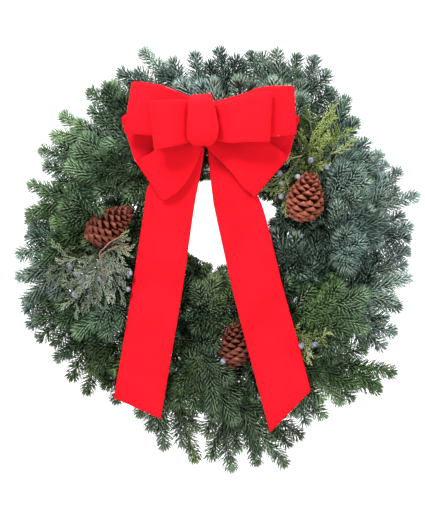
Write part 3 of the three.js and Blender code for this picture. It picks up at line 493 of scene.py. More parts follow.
INNER_SPRAYS = [
    (0, BLUE, [(22, 98, 26), (30, 104, 58)]),
    (1, DARK, [(55, 108, 20), (50, 112, 52)]),
    (2, DARK, [(86, 108, 20), (80, 110, 56)]),
    (3, DARK, [(116, 106, 22), (110, 108, 56)]),
    (4, GREEN, [(148, 100, 24), (140, 106, 58)]),
    (5, GREEN, [(178, 92, 26), (170, 96, 60)]),
    (6, GREEN, [(212, 80, 26), (204, 86, 60)]),
    (7, DARK, [(244, 60, 24), (234, 72, 62)]),
    (8, DARK, [(274, 52, 26), (262, 58, 64)]),
    (9, DARK, [(304, 62, 24), (294, 62, 62)]),
    (10, GREEN, [(334, 82, 26), (324, 74, 60)]),
    (11, BLUE, [(0, 94, 24), (352, 92, 58)]),
]


def shoot_paths(node, clamp, tips, style):
    """The leader's path and the side shoots', each to the tip that the frame has."""
    buds = frame_points(node, BUD_FACES)
    lead, *others = [settled(buds, polar(*tip)) for tip in tips]
    leader = leader_path(clamp, lead, style)
    return [leader] + [side_path(leader, share, tip) for share, tip in zip(style.shares, others)]


# A lateral twig: how it rolls out of the face, its bend and where it ends
ROLL_SPREAD = 0.45
FRONT_PULL = 0.25
LEAVE_BEND, LEAVE_END, SWING_END = 0.5, 0.62, 0.36
LATERAL_JITTER = 0.3
PAST_TIP = 1.05


def lateral_path(parent, distance, side_sign, length, angle, random):
    """A twig that leaves its parent sideways and then swings along it."""
    place, way = parent.at(distance)
    front, side = across_frame(way)
    roll = random.normal(0, ROLL_SPREAD)
    aside = side * side_sign * math.cos(roll) + front * (FRONT_PULL + math.sin(roll))
    leave = unit(way * math.cos(angle) + aside * math.sin(angle))
    end = place + leave * LEAVE_END * length + way * SWING_END * length
    return Path(bezier([place, place + leave * LEAVE_BEND * length, end], TWIG_STEPS))


def laterals(parent, count, style, random):
    """Twigs from alternate sides of a shoot, none of which passes far beyond its tip."""
    made = []
    longest, shortest = style.lateral_length
    for k in range(count):
        share = (k + 0.5 + LATERAL_JITTER * random.uniform(-1, 1)) / count
        distance = mix(*style.lateral_span, share) * parent.length
        length = mix(longest, shortest, share) * random.uniform(0.85, 1.1)
        length = min(length, PAST_TIP * (parent.length - distance))
        twig = lateral_path(parent, distance, (-1) ** k, length, style.lateral_angle, random)
        if style.room(twig.points[-1:])[0]:
            made.append(twig)
    return made


# Needles run round a twig in a spiral. Those turned to the front are painted paler, as painted light,
# and the spikes below darker, as painted shade. Leans are angles from the twig; those to the front
# are combed down, and the lean and length change near the tip.
UNDER_SPREAD = 1.9
UNDER_WIDTH = 2.8
UNDER_SHARE, UNDER_SHORTER = 0.95, 0.25
FOOT_LEAN, TIP_LEAN, LEAST_LEAN = 1.2, 0.95, 0.05
LEAN_SPREAD = 0.06
FRONT_COMB = 0.4
TIP_POWER = 5
TIP_SHORTER = 0.1
ROSETTE = 20
ROSETTE_SHARE = 0.8
ROW_LIFT = 0.5
FRONT_PAINTED_LIGHT = 0.26
UNDER_PAINTED_SHADE = -0.34
TINT_SPREAD = 0.13
SHORTEST_RUN = 4


@dataclass
class Twig:
    """A path with the length of its bare foot, its stem's radius, its tint and its style."""

    path: Path
    bare: float
    stem: float
    tint: float
    style: Style


def needles_round(twig, distance, turn, lean, width, share, tint, random):
    """Needles at the distances, turns from the front and leans given."""
    count = len(distance)
    place, way, radial = around(twig.path, distance, turn)
    lean = lean + random.normal(0, LEAN_SPREAD, count)
    end_lean = np.maximum(lean - twig.style.curl, LEAST_LEAN)
    end_way = unit(leaning(way, radial, end_lean))
    length = twig.style.needle * share * random.uniform(0.9, 1.08, count)
    width = width * random.uniform(0.88, 1.1, count)
    # Painted light: needles turned to the front get a paler tint.
    colour = np.clip(tint + FRONT_PAINTED_LIGHT * np.cos(turn) + random.normal(0, TINT_SPREAD, count), 0, 1)
    roots = place + radial * ROW_LIFT
    return Needles(roots, leaning(way, radial, lean), end_way, length, width, radial, colour)


def spread(twig, gap):
    """Places with the gap between them along the needled run: their shares of it and distances."""
    run = twig.path.length - twig.bare
    share = (np.arange(int(run / gap)) + 0.5) * gap / run
    return share, twig.bare + run * share


def dress_twig(soup, twig, random):
    """A spiral of needles painted paler to the front as painted light, spikes below it painted darker as
    painted shade, and a rosette that rounds the tip.
    """
    style, tint = twig.style, twig.tint
    if twig.path.length - twig.bare < SHORTEST_RUN:
        return
    share, distance = spread(twig, style.needle_gap)
    turn = GOLDEN_ANGLE * np.arange(len(share)) + random.uniform(0, 6)
    lean = mix(FOOT_LEAN, TIP_LEAN, share ** TIP_POWER) - FRONT_COMB * np.maximum(np.cos(turn), 0)
    length = 1 - TIP_SHORTER * share ** TIP_POWER
    needles_round(twig, distance, turn, lean, style.width, length, tint, random).grow(soup, style.room)
    share, distance = spread(twig, style.under_gap)
    turn = math.pi + random.uniform(-UNDER_SPREAD, UNDER_SPREAD, len(share))
    length = UNDER_SHARE - UNDER_SHORTER * share ** TIP_POWER
    # Painted shade: the spikes below get a darker tint.
    under = needles_round(twig, distance, turn, FOOT_LEAN, UNDER_WIDTH, length, tint + UNDER_PAINTED_SHADE, random)
    under.grow(soup, style.room, bent=False)
    turn = GOLDEN_ANGLE * np.arange(ROSETTE)
    lean = np.sqrt((np.arange(ROSETTE) + 0.5) / ROSETTE) * TIP_LEAN
    ends = np.full(ROSETTE, twig.path.length - 1)
    needles_round(twig, ends, turn, lean, style.width, ROSETTE_SHARE, tint, random).grow(soup, style.room)


STRAND_STEPS = 5


def strand_path(paths, places):
    """A strand that starts on the nearest shoot and runs through the places given."""
    route = [spot(*place) for place in places]
    return Path(catmull([nearest_point(paths, route[0]), *route], STRAND_STEPS))


TWIG_BARE, TWIG_STEM, FILL_BARE = 3, 0.8, 5
SHOOT_TINTS, FILL_TINTS, DRAPED_TINT = (0.2, 0.85), (0.15, 0.65), 0.25
TWIG_TINT_SPREAD = 0.12
STEM_SPACING = 12

# Twigs that lie over a cone: across, up and depth
DRAPED_TWIGS = {
    "fir_face_07": [[(-198, 78, 88), (-186, 66, 101), (-163, 49, 107)]],
}


class Spray:
    """A fir spray: its shoots as in the frame, and all the twigs that carry needles."""

    def __init__(self, node, colour, paths, style, random):
        self.node, self.colour, self.paths, self.random = node, colour, paths, random
        self.twigs = []
        for number, path in enumerate(paths):
            leads = number == 0
            bare, stem = (style.leader_bare, style.stem) if leads else (style.side_bare, style.side_stem)
            tint = random.uniform(*SHOOT_TINTS)
            self.twigs.append(Twig(path, bare, stem, tint, style))
            for twig in laterals(path, style.laterals + leads, style, random):
                twig_tint = tint + random.uniform(-TWIG_TINT_SPREAD, TWIG_TINT_SPREAD)
                self.twigs.append(Twig(twig, TWIG_BARE, TWIG_STEM, twig_tint, style))
        for places in DRAPED_TWIGS.get(node, []):
            self.add_fine_twig(strand_path(paths, places), DRAPED_TINT)

    def gap(self, tip):
        return min(path.gaps(tip).min() for path in self.paths)

    def add_fine_twig(self, path, tint):
        self.twigs.append(Twig(path, FILL_BARE, TWIG_STEM, tint, FILL_FIR))

    def add_filling(self, tip):
        nearest = min(self.paths, key=lambda path: path.gaps(tip).min())
        filling = twig_to(nearest, tip)
        self.add_fine_twig(filling, self.random.uniform(*FILL_TINTS))
        return filling

    def grow(self):
        soup = Soup()
        for twig in self.twigs:
            stems = (twig.stem, twig.style.tip_stem)
            add_tube(soup, twig.path, *stems, twig.tint, BARK_SLOT, spacing=STEM_SPACING)
            dress_twig(soup, twig, self.random)
        made = soup.object("fine_" + self.node, [NEEDLE_LOOKS[self.colour], BARK])
        hand_over(made, self.node)


# Filling twigs close the gaps between the sprays, in layers from the wall to the front.
# Each layer: the least and greatest depth of its tips, and the gap that is filled
FILL_LAYERS = [(14, 34, 8.9), (44, 62, 12)]
FILL_PITCH = 7
FILL_JITTER = 0.4
FILL_REACH = 226
FILL_LEAD = 42
FILL_BEND = 0.5
FILL_TIP_POINTS = 4
LAYER_MARGIN = 12
TIP_MARGIN = 8
LEADER_STEM = 2
NEAREST_ROOT = 12


def twig_to(path, tip):
    """A twig that leaves the path some way before its nearest point and bends over to the tip."""
    distance = max(path.marks[path.gaps(tip).argmin()] - FILL_LEAD, NEAREST_ROOT)
    place, way = path.at(distance)
    bend = place + way * FILL_BEND * np.linalg.norm(tip - place)
    return Path(bezier([place, bend, tip], TWIG_STEPS))


def fill_layer(sprays, low, high, gap, random):
    """Adds a twig wherever the twigs of this depth leave more than the gap between them."""
    twigs = [twig for spray in sprays for twig in spray.twigs if twig.stem < LEADER_STEM]
    laid = np.concatenate([twig.path.points for twig in twigs])
    flat = laid[(-laid[:, 1] > low - LAYER_MARGIN) & fir_room(laid)][:, [0, 2]]
    steps = np.arange(-FILL_REACH, FILL_REACH, FILL_PITCH)
    spots = np.stack(np.meshgrid(steps, steps), -1).reshape(-1, 2)
    spots = spots + random.uniform(-FILL_JITTER, FILL_JITTER, spots.shape) * FILL_PITCH
    spots = spots[np.linalg.norm(spots, axis=1) < FILL_REACH]
    for x, z in random.permutation(spots):
        tip = spot(x, z, random.uniform(low, high))
        free = fir_room(tip[None])[0] and not in_ovals(tip[None], OPENINGS, TIP_MARGIN)[0]
        if free and np.linalg.norm(flat - [x, z], axis=1).min() > gap:
            filling = min(sprays, key=lambda spray: spray.gap(tip)).add_filling(tip)
            flat = np.concatenate([flat, filling.points[-FILL_TIP_POINTS:, [0, 2]]])


FIR_KINDS = [
    ("outer", OUTER_SPRAYS, OUTER_FIR),
    ("face", FACE_SPRAYS, FACE_FIR),
    ("inner", INNER_SPRAYS, INNER_FIR),
]
FIR_SEED, FILL_SEED, JUNIPER_SEED, CONE_SEED, BERRY_SEED = 100, 7, 300, 400, 9

# A stray berry by the bottom cone, on the spray there: across, up and depth
BERRY_SPRAY = "fir_face_10"
STRAY_BERRY = (7, -161, 90)


def grow_firs():
    grown = []
    for kind, sprays, style in FIR_KINDS:
        for number, (clamp, colour, tips) in enumerate(sprays, start=1):
            node = f"fir_{kind}_{number:02d}"
            random = np.random.default_rng(FIR_SEED + len(grown))
            grown.append(Spray(node, colour, shoot_paths(node, clamp, tips, style), style, random))
    random = np.random.default_rng(FILL_SEED)
    for low, high, gap in FILL_LAYERS:
        fill_layer(grown, low, high, gap, random)
    for spray in grown:
        spray.grow()
        if spray.node == BERRY_SPRAY:
            add_stray_berry(spray.paths)


# Juniper: forked cords clad in small scale leaves, with frosted berries
JUNIPER = Style(
    slot=2, lift=34, shares=(0.42, 0.5, 0.58, 0.66), leader_bare=45, side_bare=6,
    stem=2.0, side_stem=1.4, tip_stem=0.5,
    cord_spacing=10.5, cord_length=(46, 24), cord_angle=0.66,
    fork_gap=5.0, fork_length=(14, 7), fork_angle=0.72,
    leaf=3.0, leaf_width=1.65, leaf_spacing=1.0,
)
SMALL_JUNIPER = JUNIPER.but(cord_spacing=9.0, cord_length=(26, 14), leader_bare=80)

# Each spray's node, clamp, colour and style, and its tips as for the fir; then its further
# strands and the berries on its front, by places across, up and depth
JUNIPERS = [
    ("juniper_right_upper", 0, "yellow", JUNIPER,
     [(50, 216, 92), (62, 214, 84), (56, 228, 76), (44, 200, 88), (40, 186, 84)],
     [[(120, 128, 80), (104, 110, 76), (84, 88, 75)],
      [(112, 116, 78), (96, 96, 75), (88, 66, 74)],
      [(106, 104, 76), (92, 82, 74), (74, 74, 72)],
      [(104, 100, 76), (98, 80, 74), (104, 56, 70)],
      [(152, 120, 84), (160, 134, 92), (168, 150, 88)],
      [(146, 130, 86), (130, 158, 94), (122, 192, 90)],
      [(140, 120, 84), (140, 150, 94), (146, 178, 90)]],
     [(128, 117, 98), (150, 108, 92), (110, 94, 100), (88, 87, 74), (88, 68, 74), (86, 101, 76)]),
    ("juniper_left", 5, "grey", JUNIPER,
     [(196, 212, 84), (188, 226, 78), (192, 190, 92), (199, 186, 90), (202, 212, 80)],
     [[(-150, -4, 78), (-140, -24, 92), (-124, -44, 92)],
      [(-156, -10, 80), (-148, -40, 96), (-132, -68, 94)],
      [(-160, -14, 82), (-162, -44, 100), (-152, -78, 96)],
      [(-152, 0, 78), (-134, -8, 90), (-116, -18, 88)],
      [(-168, -20, 84), (-176, -50, 100), (-172, -84, 96)],
      [(-176, -24, 84), (-192, -20, 98), (-214, -14, 92)]],
     [(-204, -30, 92), (-193, -41, 97), (-189, -51, 96), (-164, -46, 102), (-121, -39, 98),
      (-177, -72, 94), (-199, -68, 90), (-124, -61, 96)]),
    ("juniper_right_lower", 9, "yellow", SMALL_JUNIPER,
     [(314, 186, 84), (310, 196, 78), (318, 192, 86)],
     [[(128, -126, 80), (122, -142, 92), (118, -158, 90)]],
     [(134, -137, 98), (115, -139, 96), (127, -152, 84)]),
]

# Leaves lean from their cord, and less at their ends; a cord's leaves get paler to its tip
LEAF_LEAN, LEAF_LEAN_SPREAD = 0.38, 0.1
LEAF_END_LEAN = 0.25
LEAF_TINT_SPREAD, TIP_PALER = 0.1, 0.25
CORD_RADIUS, FORK_RADIUS, CORD_TIP = 0.9, 0.7, 0.3
STRAND_BARE, STRAND_STEM = 12, 1.2
SHOOT_END_POINTS = 9


def clad_cord(soup, path, style, tint, random):
    """Small leaves that lie close along a cord."""
    count = max(4, int(path.length / style.leaf_spacing))
    distance = path.length * (np.arange(count) + 0.5) / count
    turn = 0.5 * np.pi * np.arange(count) + random.uniform(0, 6)
    place, way, radial = around(path, distance, turn)
    start_way = leaning(way, radial, LEAF_LEAN + random.normal(0, LEAF_LEAN_SPREAD, count))
    end_way = unit(way + LEAF_END_LEAN * radial)
    length = style.leaf * random.uniform(0.85, 1.2, count)
    width = np.full(count, style.leaf_width)
    tints = tint + random.normal(0, LEAF_TINT_SPREAD, count) + TIP_PALER * distance / path.length
    leaves = Needles(place, start_way, end_way, length, width, radial, np.clip(tints, 0, 1))
    leaves.grow(soup, juniper_room)


def add_cord(soup, path, radius, style, tint, random):
    """A clad cord where there is room for its tip, and whether there is."""
    has_room = juniper_room(path.points[-1:])[0]
    if has_room:
        add_tube(soup, path, radius, CORD_TIP, tint, sides=4, spacing=7)
        clad_cord(soup, path, style, tint, random)
    return has_room


def fork_cord(soup, path, style, tint, random):
    """A cord, and shorter cords that leave it on both sides."""
    if not add_cord(soup, path, CORD_RADIUS, style, tint, random):
        return
    count = int(path.length / style.fork_gap)
    for k in range(1, count):
        length = mix(*style.fork_length, k / count) * random.uniform(0.7, 1.3)
        twig = lateral_path(path, path.length * k / count, (-1) ** k, length, style.fork_angle, random)
        add_cord(soup, twig, FORK_RADIUS, style, tint + random.uniform(-0.1, 0.15), random)


# Frosted berries on short stalks
BERRY_RADIUS = 4.0
BERRY_RINGS, BERRY_SIDES = 9, 14
DIMPLE, DIMPLE_ANGLE, DIMPLE_FLOOR = 0.16, 0.32, 0.8
BERRY_TURN = 0.35
STALK_SAG = 3
STALK_RADIUS, STALK_TIP, STALK_TINT = 0.7, 0.5, 0.4


def berry_shape():
    """A ball with a dimple at its crown."""
    sides, rings = BERRY_SIDES, BERRY_RINGS
    angle = np.pi * (np.arange(rings) + 1) / (rings + 1)
    turn = 2 * np.pi * np.arange(sides) / sides
    radius = 1 - DIMPLE * np.exp(-(angle / DIMPLE_ANGLE) ** 2)
    ring = np.stack([np.cos(turn), np.sin(turn)], 1)
    points = [np.concatenate([ring * (r * math.sin(a)), np.full((sides, 1), r * math.cos(a))], 1)
              for a, r in zip(angle, radius)]
    points = np.concatenate(points + [[[0, 0, DIMPLE_FLOOR]], [[0, 0, -1]]])
    first, last = np.arange(sides), (rings - 1) * sides
    second = np.roll(first, -1)
    crown = np.stack([np.full(sides, rings * sides), first, second], 1)
    foot = np.stack([np.full(sides, rings * sides + 1), last + second, last + first], 1)
    return points, {4: ring_quads(rings, sides)[:, [0, 3, 2, 1]], 3: np.concatenate([crown, foot])}


def turned(points, way, spin):
    """Points whose z axis is turned to the way given."""
    way = unit(np.asarray(way, float))
    across = unit(np.cross(way, [0.3, 0.1, 1.0] if abs(way[2]) < 0.9 else [1.0, 0.1, 0]))
    other = np.cross(way, across)
    first = across * math.cos(spin) + other * math.sin(spin)
    second = np.cross(way, first)
    return points @ np.stack([first, second, way])


def add_berry(soup, centre, paths, random):
    """A berry, with a stalk to it from the nearest shoot."""
    points, faces = berry_shape()
    middle = spot(*centre)
    way = unit(FRONT + random.normal(0, BERRY_TURN, 3))
    radius = BERRY_RADIUS * random.uniform(0.88, 1.06)
    placed = middle + turned(points * radius, way, random.uniform(0, 6))
    soup.add(placed, faces, BERRY_SLOT, random.uniform(0, 1))
    root = nearest_point(paths, middle)
    sag = mix(root, middle, 0.5) + FRONT * STALK_SAG
    stalk = Path(bezier([root, sag, middle - way * radius * DIMPLE_FLOOR], TWIG_STEPS))
    add_tube(soup, stalk, STALK_RADIUS, STALK_TIP, STALK_TINT, sides=4, spacing=6)


def add_stray_berry(paths):
    soup = Soup()
    add_berry(soup, STRAY_BERRY, paths, np.random.default_rng(BERRY_SEED))
    hand_over(soup.object("stray_berry", [BARK, BARK, BERRY_SKIN]))


def grow_juniper(node, clamp, colour, style, tips, strand_places, berries, seed):
    random = np.random.default_rng(seed)
    soup = Soup()
    leader, *sides = paths = shoot_paths(node, clamp, tips, style)
    strands = [strand_path(paths, places) for places in strand_places]
    shoots = [(leader, style.leader_bare, style.stem)]
    shoots += [(side, style.side_bare, style.side_stem) for side in sides]
    shoots += [(strand, STRAND_BARE, STRAND_STEM) for strand in strands]
    for path, bare, stem in shoots:
        tint = random.uniform(0.35, 0.65)
        add_tube(soup, path, stem, style.tip_stem, tint, BARK_SLOT)
        clad_cord(soup, Path(path.points[-SHOOT_END_POINTS:]), style, tint, random)
        count = int((path.length - bare) / style.cord_spacing)
        for k in range(count):
            share = (k + 0.5) / count
            length = mix(*style.cord_length, share) * random.uniform(0.8, 1.2)
            distance = mix(bare, path.length, share)
            cord = lateral_path(path, distance, (-1) ** k, length, style.cord_angle, random)
            fork_cord(soup, cord, style, tint + random.uniform(-0.4, 0.3), random)
    for centre in berries:
        add_berry(soup, centre, paths + strands, random)
    made = soup.object("fine_" + node, [JUNIPER_LOOKS[colour], BARK, BERRY_SKIN])
    hand_over(made, node)


# The bare forked twig in the left juniper: each run's radius, then across, up and depth
FORKED_TWIG = [
    (1.2, [(-130, 14, 86), (-147, 5, 100), (-156, -4, 106), (-163, -12, 106), (-160, -24, 106),
           (-160, -38, 104), (-157, -52, 99)]),
    (0.9, [(-124, 2, 84), (-141, -3, 98), (-155, -10, 105), (-162, -17, 106)]),
    (0.9, [(-160, -33, 105), (-152, -37, 105), (-143, -37, 102)]),
]
FORK_TIP = 0.5


def add_forked_twig():
    soup = Soup()
    for radius, places in FORKED_TWIG:
        path = Path(catmull([spot(*place) for place in places], STRAND_STEPS))
        add_tube(soup, path, radius, FORK_TIP, 0.5, sides=6, spacing=4)
    hand_over(soup.object("forked_twig", [TWIG_SKIN]))


# Cones: overlapping thick scales in a spiral
GIRTH_AT = [0, 0.12, 0.3, 0.5, 0.7, 0.85, 1.0]
GIRTH = [0.52, 0.82, 1.0, 0.92, 0.7, 0.5, 0.28]


def cone_girth(share):
    return np.interp(share, GIRTH_AT, GIRTH)


# Scales get narrower, shorter, thinner and steeper from the cone's foot to its tip
SCALE_COUNT = 84
SCALE_ACROSS = 6
SCALE_ALONG = 7
SCALE_WIDTHS = (20.5, 13)
SCALE_REACHES = (20, 15)
SCALE_THICKNESSES = (5.6, 4.2)
SCALE_TILTS = (0.2, 0.95)
TILT_POWER, TILT_SPREAD = 1.3, 0.09
USUAL_RADIUS = 27
GIRTH_SHARE = 0.98
ROW_SHARE, FIRST_ROW = 0.93, -3
TILT_OUT, TILT_RISE = 0.35, 0.75

# A scale's neck, its rounded end and its boss, as shares of its width and length
NECK = 0.35
ROUND_FROM = 0.62
ARCH, ARCH_POWER = 0.1, 1.6
BOSS_HEIGHT, BOSS_PLACE, BOSS_WIDTH, BOSS_LENGTH = 0.45, 0.82, 0.34, 0.12


def scale_shape(width, reach, thickness):
    """A scale: narrow at its root, spooned, with a thick rounded end that carries a small boss."""
    u, v = np.meshgrid(np.linspace(-1, 1, SCALE_ACROSS + 1), np.linspace(0, 1, SCALE_ALONG + 1))
    flare = mix(NECK, 1, smooth(v * 1.5))
    rounded = np.clip((v - ROUND_FROM) / (1 - ROUND_FROM), 0, 1)
    across = u * width / 2 * flare * np.sqrt(np.clip(1.02 - rounded ** 2, 0, 1))
    arch = ARCH * width * v ** ARCH_POWER * (1 - 0.8 * u ** 2)
    swell = thickness * mix(0.25, 1, smooth((v - 0.35) / 0.4)) * (1 - 0.4 * u ** 2)
    from_boss = (u / BOSS_WIDTH) ** 2 + ((v - BOSS_PLACE) / BOSS_LENGTH) ** 2
    boss = BOSS_HEIGHT * thickness * np.exp(-from_boss)
    top = np.stack([across, v * reach, arch + swell / 2 + boss], -1)
    low = np.stack([across, v * reach, arch - swell / 2], -1)
    under = v.size
    index = np.arange(under).reshape(v.shape)
    upper = np.stack([index[:-1, :-1], index[:-1, 1:], index[1:, 1:], index[1:, :-1]], -1).reshape(-1, 4)
    rim = np.concatenate([index[0, :], index[1:, -1], index[-1, -2::-1], index[-2:0:-1, 0]])
    after = np.roll(rim, -1)
    edge = np.stack([rim, rim + under, after + under, after], 1)
    points = np.concatenate([top.reshape(-1, 3), low.reshape(-1, 3)])
    return points, np.concatenate([upper, upper[:, ::-1] + under, edge]), v.ravel()


def add_scale(soup, share, turn, foot, axis, radius, shade, random):
    """One scale at its share of the way up the cone, turned round it and tilted."""
    height = np.linalg.norm(axis)
    girth = radius * cone_girth(share * GIRTH_SHARE)
    size = radius / USUAL_RADIUS
    width = mix(*SCALE_WIDTHS, share) * size * (0.5 + 0.5 * cone_girth(share)) * random.uniform(0.9, 1.1)
    reach = mix(*SCALE_REACHES, share) * size
    points, quads, along = scale_shape(width, reach, mix(*SCALE_THICKNESSES, share))
    tilt = mix(*SCALE_TILTS, share ** TILT_POWER) + random.normal(0, TILT_SPREAD)
    c, s = math.cos(tilt), math.sin(tilt)
    aside, forward, up = points.T
    out = girth - reach * c + forward * c - up * s * TILT_OUT
    rise = share * height * ROW_SHARE + FIRST_ROW + forward * s * TILT_RISE + up * c
    x, y = np.cos(turn) * out - np.sin(turn) * aside, np.sin(turn) * out + np.cos(turn) * aside
    placed = foot + turned(np.stack([x, y, rise], 1), axis / height, 0)
    soup.add(placed, {4: quads}, 0, shade + random.uniform(0, 0.4), np.tile(along, 2))


def add_cone(name, foot, tip, radius, shade, seed):
    random = np.random.default_rng(seed)
    foot, tip = np.array(foot, float), np.array(tip, float)
    axis = tip - foot
    soup = Soup()
    for k in range(SCALE_COUNT):
        share = (k + 0.5) / SCALE_COUNT
        add_scale(soup, share, GOLDEN_ANGLE * k, foot, axis, radius, shade, random)
    core = Path([foot + unit(axis) * 2, foot + axis * 0.5, foot + axis * 0.96])
    add_tube(soup, core, radius * 0.5, radius * 0.18, 0.1, sides=12, spacing=8)
    hand_over(soup.object("fine_" + name, [CONE_SKIN]), name)


# The camera, as the photograph has it: its scale holds at the depth of the bow
CAMERA_DISTANCE = 2.26
BOW_PLANE = 0.095
PHOTO_HEIGHT = 516
MM_PER_PIXEL = 1.38
RING_PIXEL = (218, 245)
PHOTO_MIDDLE = (212.5, 258)
PICTURE_MIDDLE = (
    (PHOTO_MIDDLE[0] - RING_PIXEL[0]) * MM_PER_PIXEL,
    (RING_PIXEL[1] - PHOTO_MIDDLE[1]) * MM_PER_PIXEL,
)

# The bow's ribbons, as seen in the photograph: each row is the upper edge, the lower edge
# (across, up) and the depth
THICKNESS = 1.0
RIBBON = 70
RIBBON_ACROSS = 14
PLEAT_WAVES, PLEAT_START = 3.2, 0.6
FACE_SLOT, BACK_SLOT, EDGE_SLOT = 0, 1, 2


def ribbon_grid(rows, steps, pleats=0, bulge=0):
    """Points over the ribbon's middle surface, from rows of (x1, z1, x2, z2, depth)."""
    x1, z1, x2, z2, depth = catmull(rows, steps).T[..., None]
    share = np.linspace(0, 1, RIBBON_ACROSS + 1)
    gathered = np.clip(1 - np.hypot(x2 - x1, z2 - z1) / RIBBON, 0, 1)
    waves = np.sin(PLEAT_WAVES * np.pi * share + PLEAT_START) * np.sin(np.pi * share) ** 0.5
    crown = bulge * 4 * share * (1 - share)
    y = -(depth + pleats * gathered * waves + crown)
    nearer = (CAMERA_DISTANCE / MM + y) / ((CAMERA_DISTANCE - BOW_PLANE) / MM)
    x, z = [middle + (mix(first, second, share) - middle) * nearer
            for middle, first, second in zip(PICTURE_MIDDLE, (x1, z1), (x2, z2))]
    return np.stack([x, y, z], -1)


def ribbon_object(name, grid, closed, turned_rows=0, glints=False):
    """A cloth of even thickness over the grid, with a velvet face, a satin back painted a little darker as
    shade and cut edges speckled pale pink as painted glints.

    The last turned_rows rows show the other face, as after a twist behind the knot.
    """
    ahead = np.roll(grid, -1, 0) if closed else np.concatenate([grid[1:], grid[-1:]])
    behind = np.roll(grid, 1, 0) if closed else np.concatenate([grid[:1], grid[:-1]])
    half = unit(np.cross(ahead - behind, np.gradient(grid, axis=1))) * THICKNESS / 2
    rows, columns = grid.shape[:2]
    under = rows * columns
    index = np.arange(under).reshape(rows, columns)
    here, after = (index, np.roll(index, -1, 0)) if closed else (index[:-1], index[1:])
    face = np.stack([here[:, :-1], after[:, :-1], after[:, 1:], here[:, 1:]], -1).reshape(-1, 4)
    rims = [
        (here[:, 0], here[:, 0] + under, after[:, 0] + under, after[:, 0]),
        (here[:, -1], after[:, -1], after[:, -1] + under, here[:, -1] + under),
    ]
    if not closed:
        for run in (index[0], index[-1, ::-1]):
            rims.append((run[:-1], run[1:], run[1:] + under, run[:-1] + under))
    faces = np.concatenate([face, face[:, ::-1] + under] + [np.stack(rim, 1) for rim in rims])
    turned_face = np.arange(len(face)) >= len(face) - turned_rows * (columns - 1)
    front_slots = np.where(turned_face, BACK_SLOT, FACE_SLOT)
    back_slots = np.where(turned_face, FACE_SLOT, BACK_SLOT)
    edge_slots = np.full(len(faces) - 2 * len(face), EDGE_SLOT)
    along = np.tile(np.linspace(0, 1, columns), 2 * rows) if glints else NO_ALONG
    soup = Soup()
    slots = np.concatenate([front_slots, back_slots, edge_slots])
    soup.add(np.stack([grid + half, grid - half]), {4: faces}, slots, 0.5, along)
    return soup.object(name, [VELVET, RIBBON_BACK, GLINTING_RIBBON_EDGE])


# Each loop runs from the knot along its front to the fold and back behind
BACK_LEFT = [
    (-22, 198, -22, 146, 103), (-44, 207, -40, 142, 112), (-76, 220, -80, 149, 120),
    (-104, 225, -112, 153, 120), (-117, 225, -128, 155, 117), (-118, 224, -129, 155, 112),
    (-115, 222, -125, 155, 107), (-78, 216, -80, 151, 104), (-44, 204, -42, 146, 103),
    (-22, 198, -22, 146, 102),
]
BACK_RIGHT = [
    (-20, 196, -20, 146, 102), (6, 196, 6, 144, 103), (44, 211, 44, 151, 104), (96, 217, 99, 154, 107),
    (103, 219, 107, 153, 112), (104, 219, 107, 153, 117), (94, 220, 97, 151, 120), (60, 218, 62, 148, 120),
    (32, 208, 28, 142, 112), (-20, 194, -20, 146, 103),
]
FRONT_LEFT = [
    (-22, 196, -22, 148, 107), (-42, 200, -42, 141, 128), (-62, 201, -62, 136, 139),
    (-82, 200, -80, 133, 140), (-93, 199, -87, 131, 136), (-95, 198, -88, 131, 130),
    (-92, 198, -85, 132, 124), (-64, 197, -62, 138, 120), (-40, 198, -40, 144, 114),
    (-22, 196, -22, 148, 106),
]
FRONT_RIGHT = [
    (-20, 194, -20, 148, 106), (4, 194, 4, 144, 114), (30, 202, 32, 146, 120), (64, 209, 64, 146, 124),
    (73, 211, 70, 143, 130), (74, 212, 71, 142, 136), (64, 212, 60, 142, 140), (40, 208, 36, 142, 139),
    (14, 199, 12, 141, 128), (-20, 193, -20, 148, 107),
]
LOW_LEFT = [
    (-30, 178, -20, 139, 95), (-66, 160, -34, 103, 98), (-88, 131, -52, 77, 99), (-104, 121, -66, 66, 98),
    (-113, 115, -77, 62, 94), (-120, 132, -80, 72, 90), (-126, 152, -80, 90, 88), (-132, 177, -82, 112, 88),
    (-98, 184, -60, 124, 89), (-30, 178, -20, 139, 92),
]
LOW_RIGHT = [
    (-10, 178, -20, 139, 92), (42, 178, 16, 122, 90), (84, 181, 52, 120, 88), (111, 178, 74, 117, 88),
    (109, 163, 66, 102, 88), (102, 137, 57, 79, 90), (96, 119, 51, 67, 94), (90, 128, 45, 72, 98),
    (74, 139, 34, 80, 99), (42, 160, 16, 103, 98), (-10, 178, -20, 139, 95),
]
LEFT_TAIL = [
    (-38, 152, -18, 152, 89.5), (-70, 118, -20, 122, 85), (-96, 82, -28, 78, 84.5), (-103, 42, -34, 44, 85),
    (-119, -62, -49, -62, 86), (-131, -136, -64, -151, 86.5), (-144, -211, -79, -240, 87),
]
RIGHT_TAIL = [
    (-16, 152, 6, 152, 89.5), (-13, 118, 34, 110, 85), (-8, 70, 54, 70, 84.5), (-3, 41, 66, 38, 85),
    (20, -62, 90, -60, 86), (46, -163, 110, -131, 86.5), (72, -259, 128, -201, 87),
]
KNOT_ROWS = [
    (-33, 207, -12, 208, 108), (-36, 206, -10, 208, 124), (-41, 198, -6, 199, 136), (-42, 178, -2, 180, 140),
    (-43, 160, 1, 163, 141), (-42, 146, -1, 148, 138), (-36, 139, -6, 141, 128), (-32, 137, -10, 138, 112),
    (-34, 140, -8, 140, 99), (-38, 160, -4, 160, 97), (-36, 185, -8, 185, 97), (-36, 203, -12, 203, 99),
]

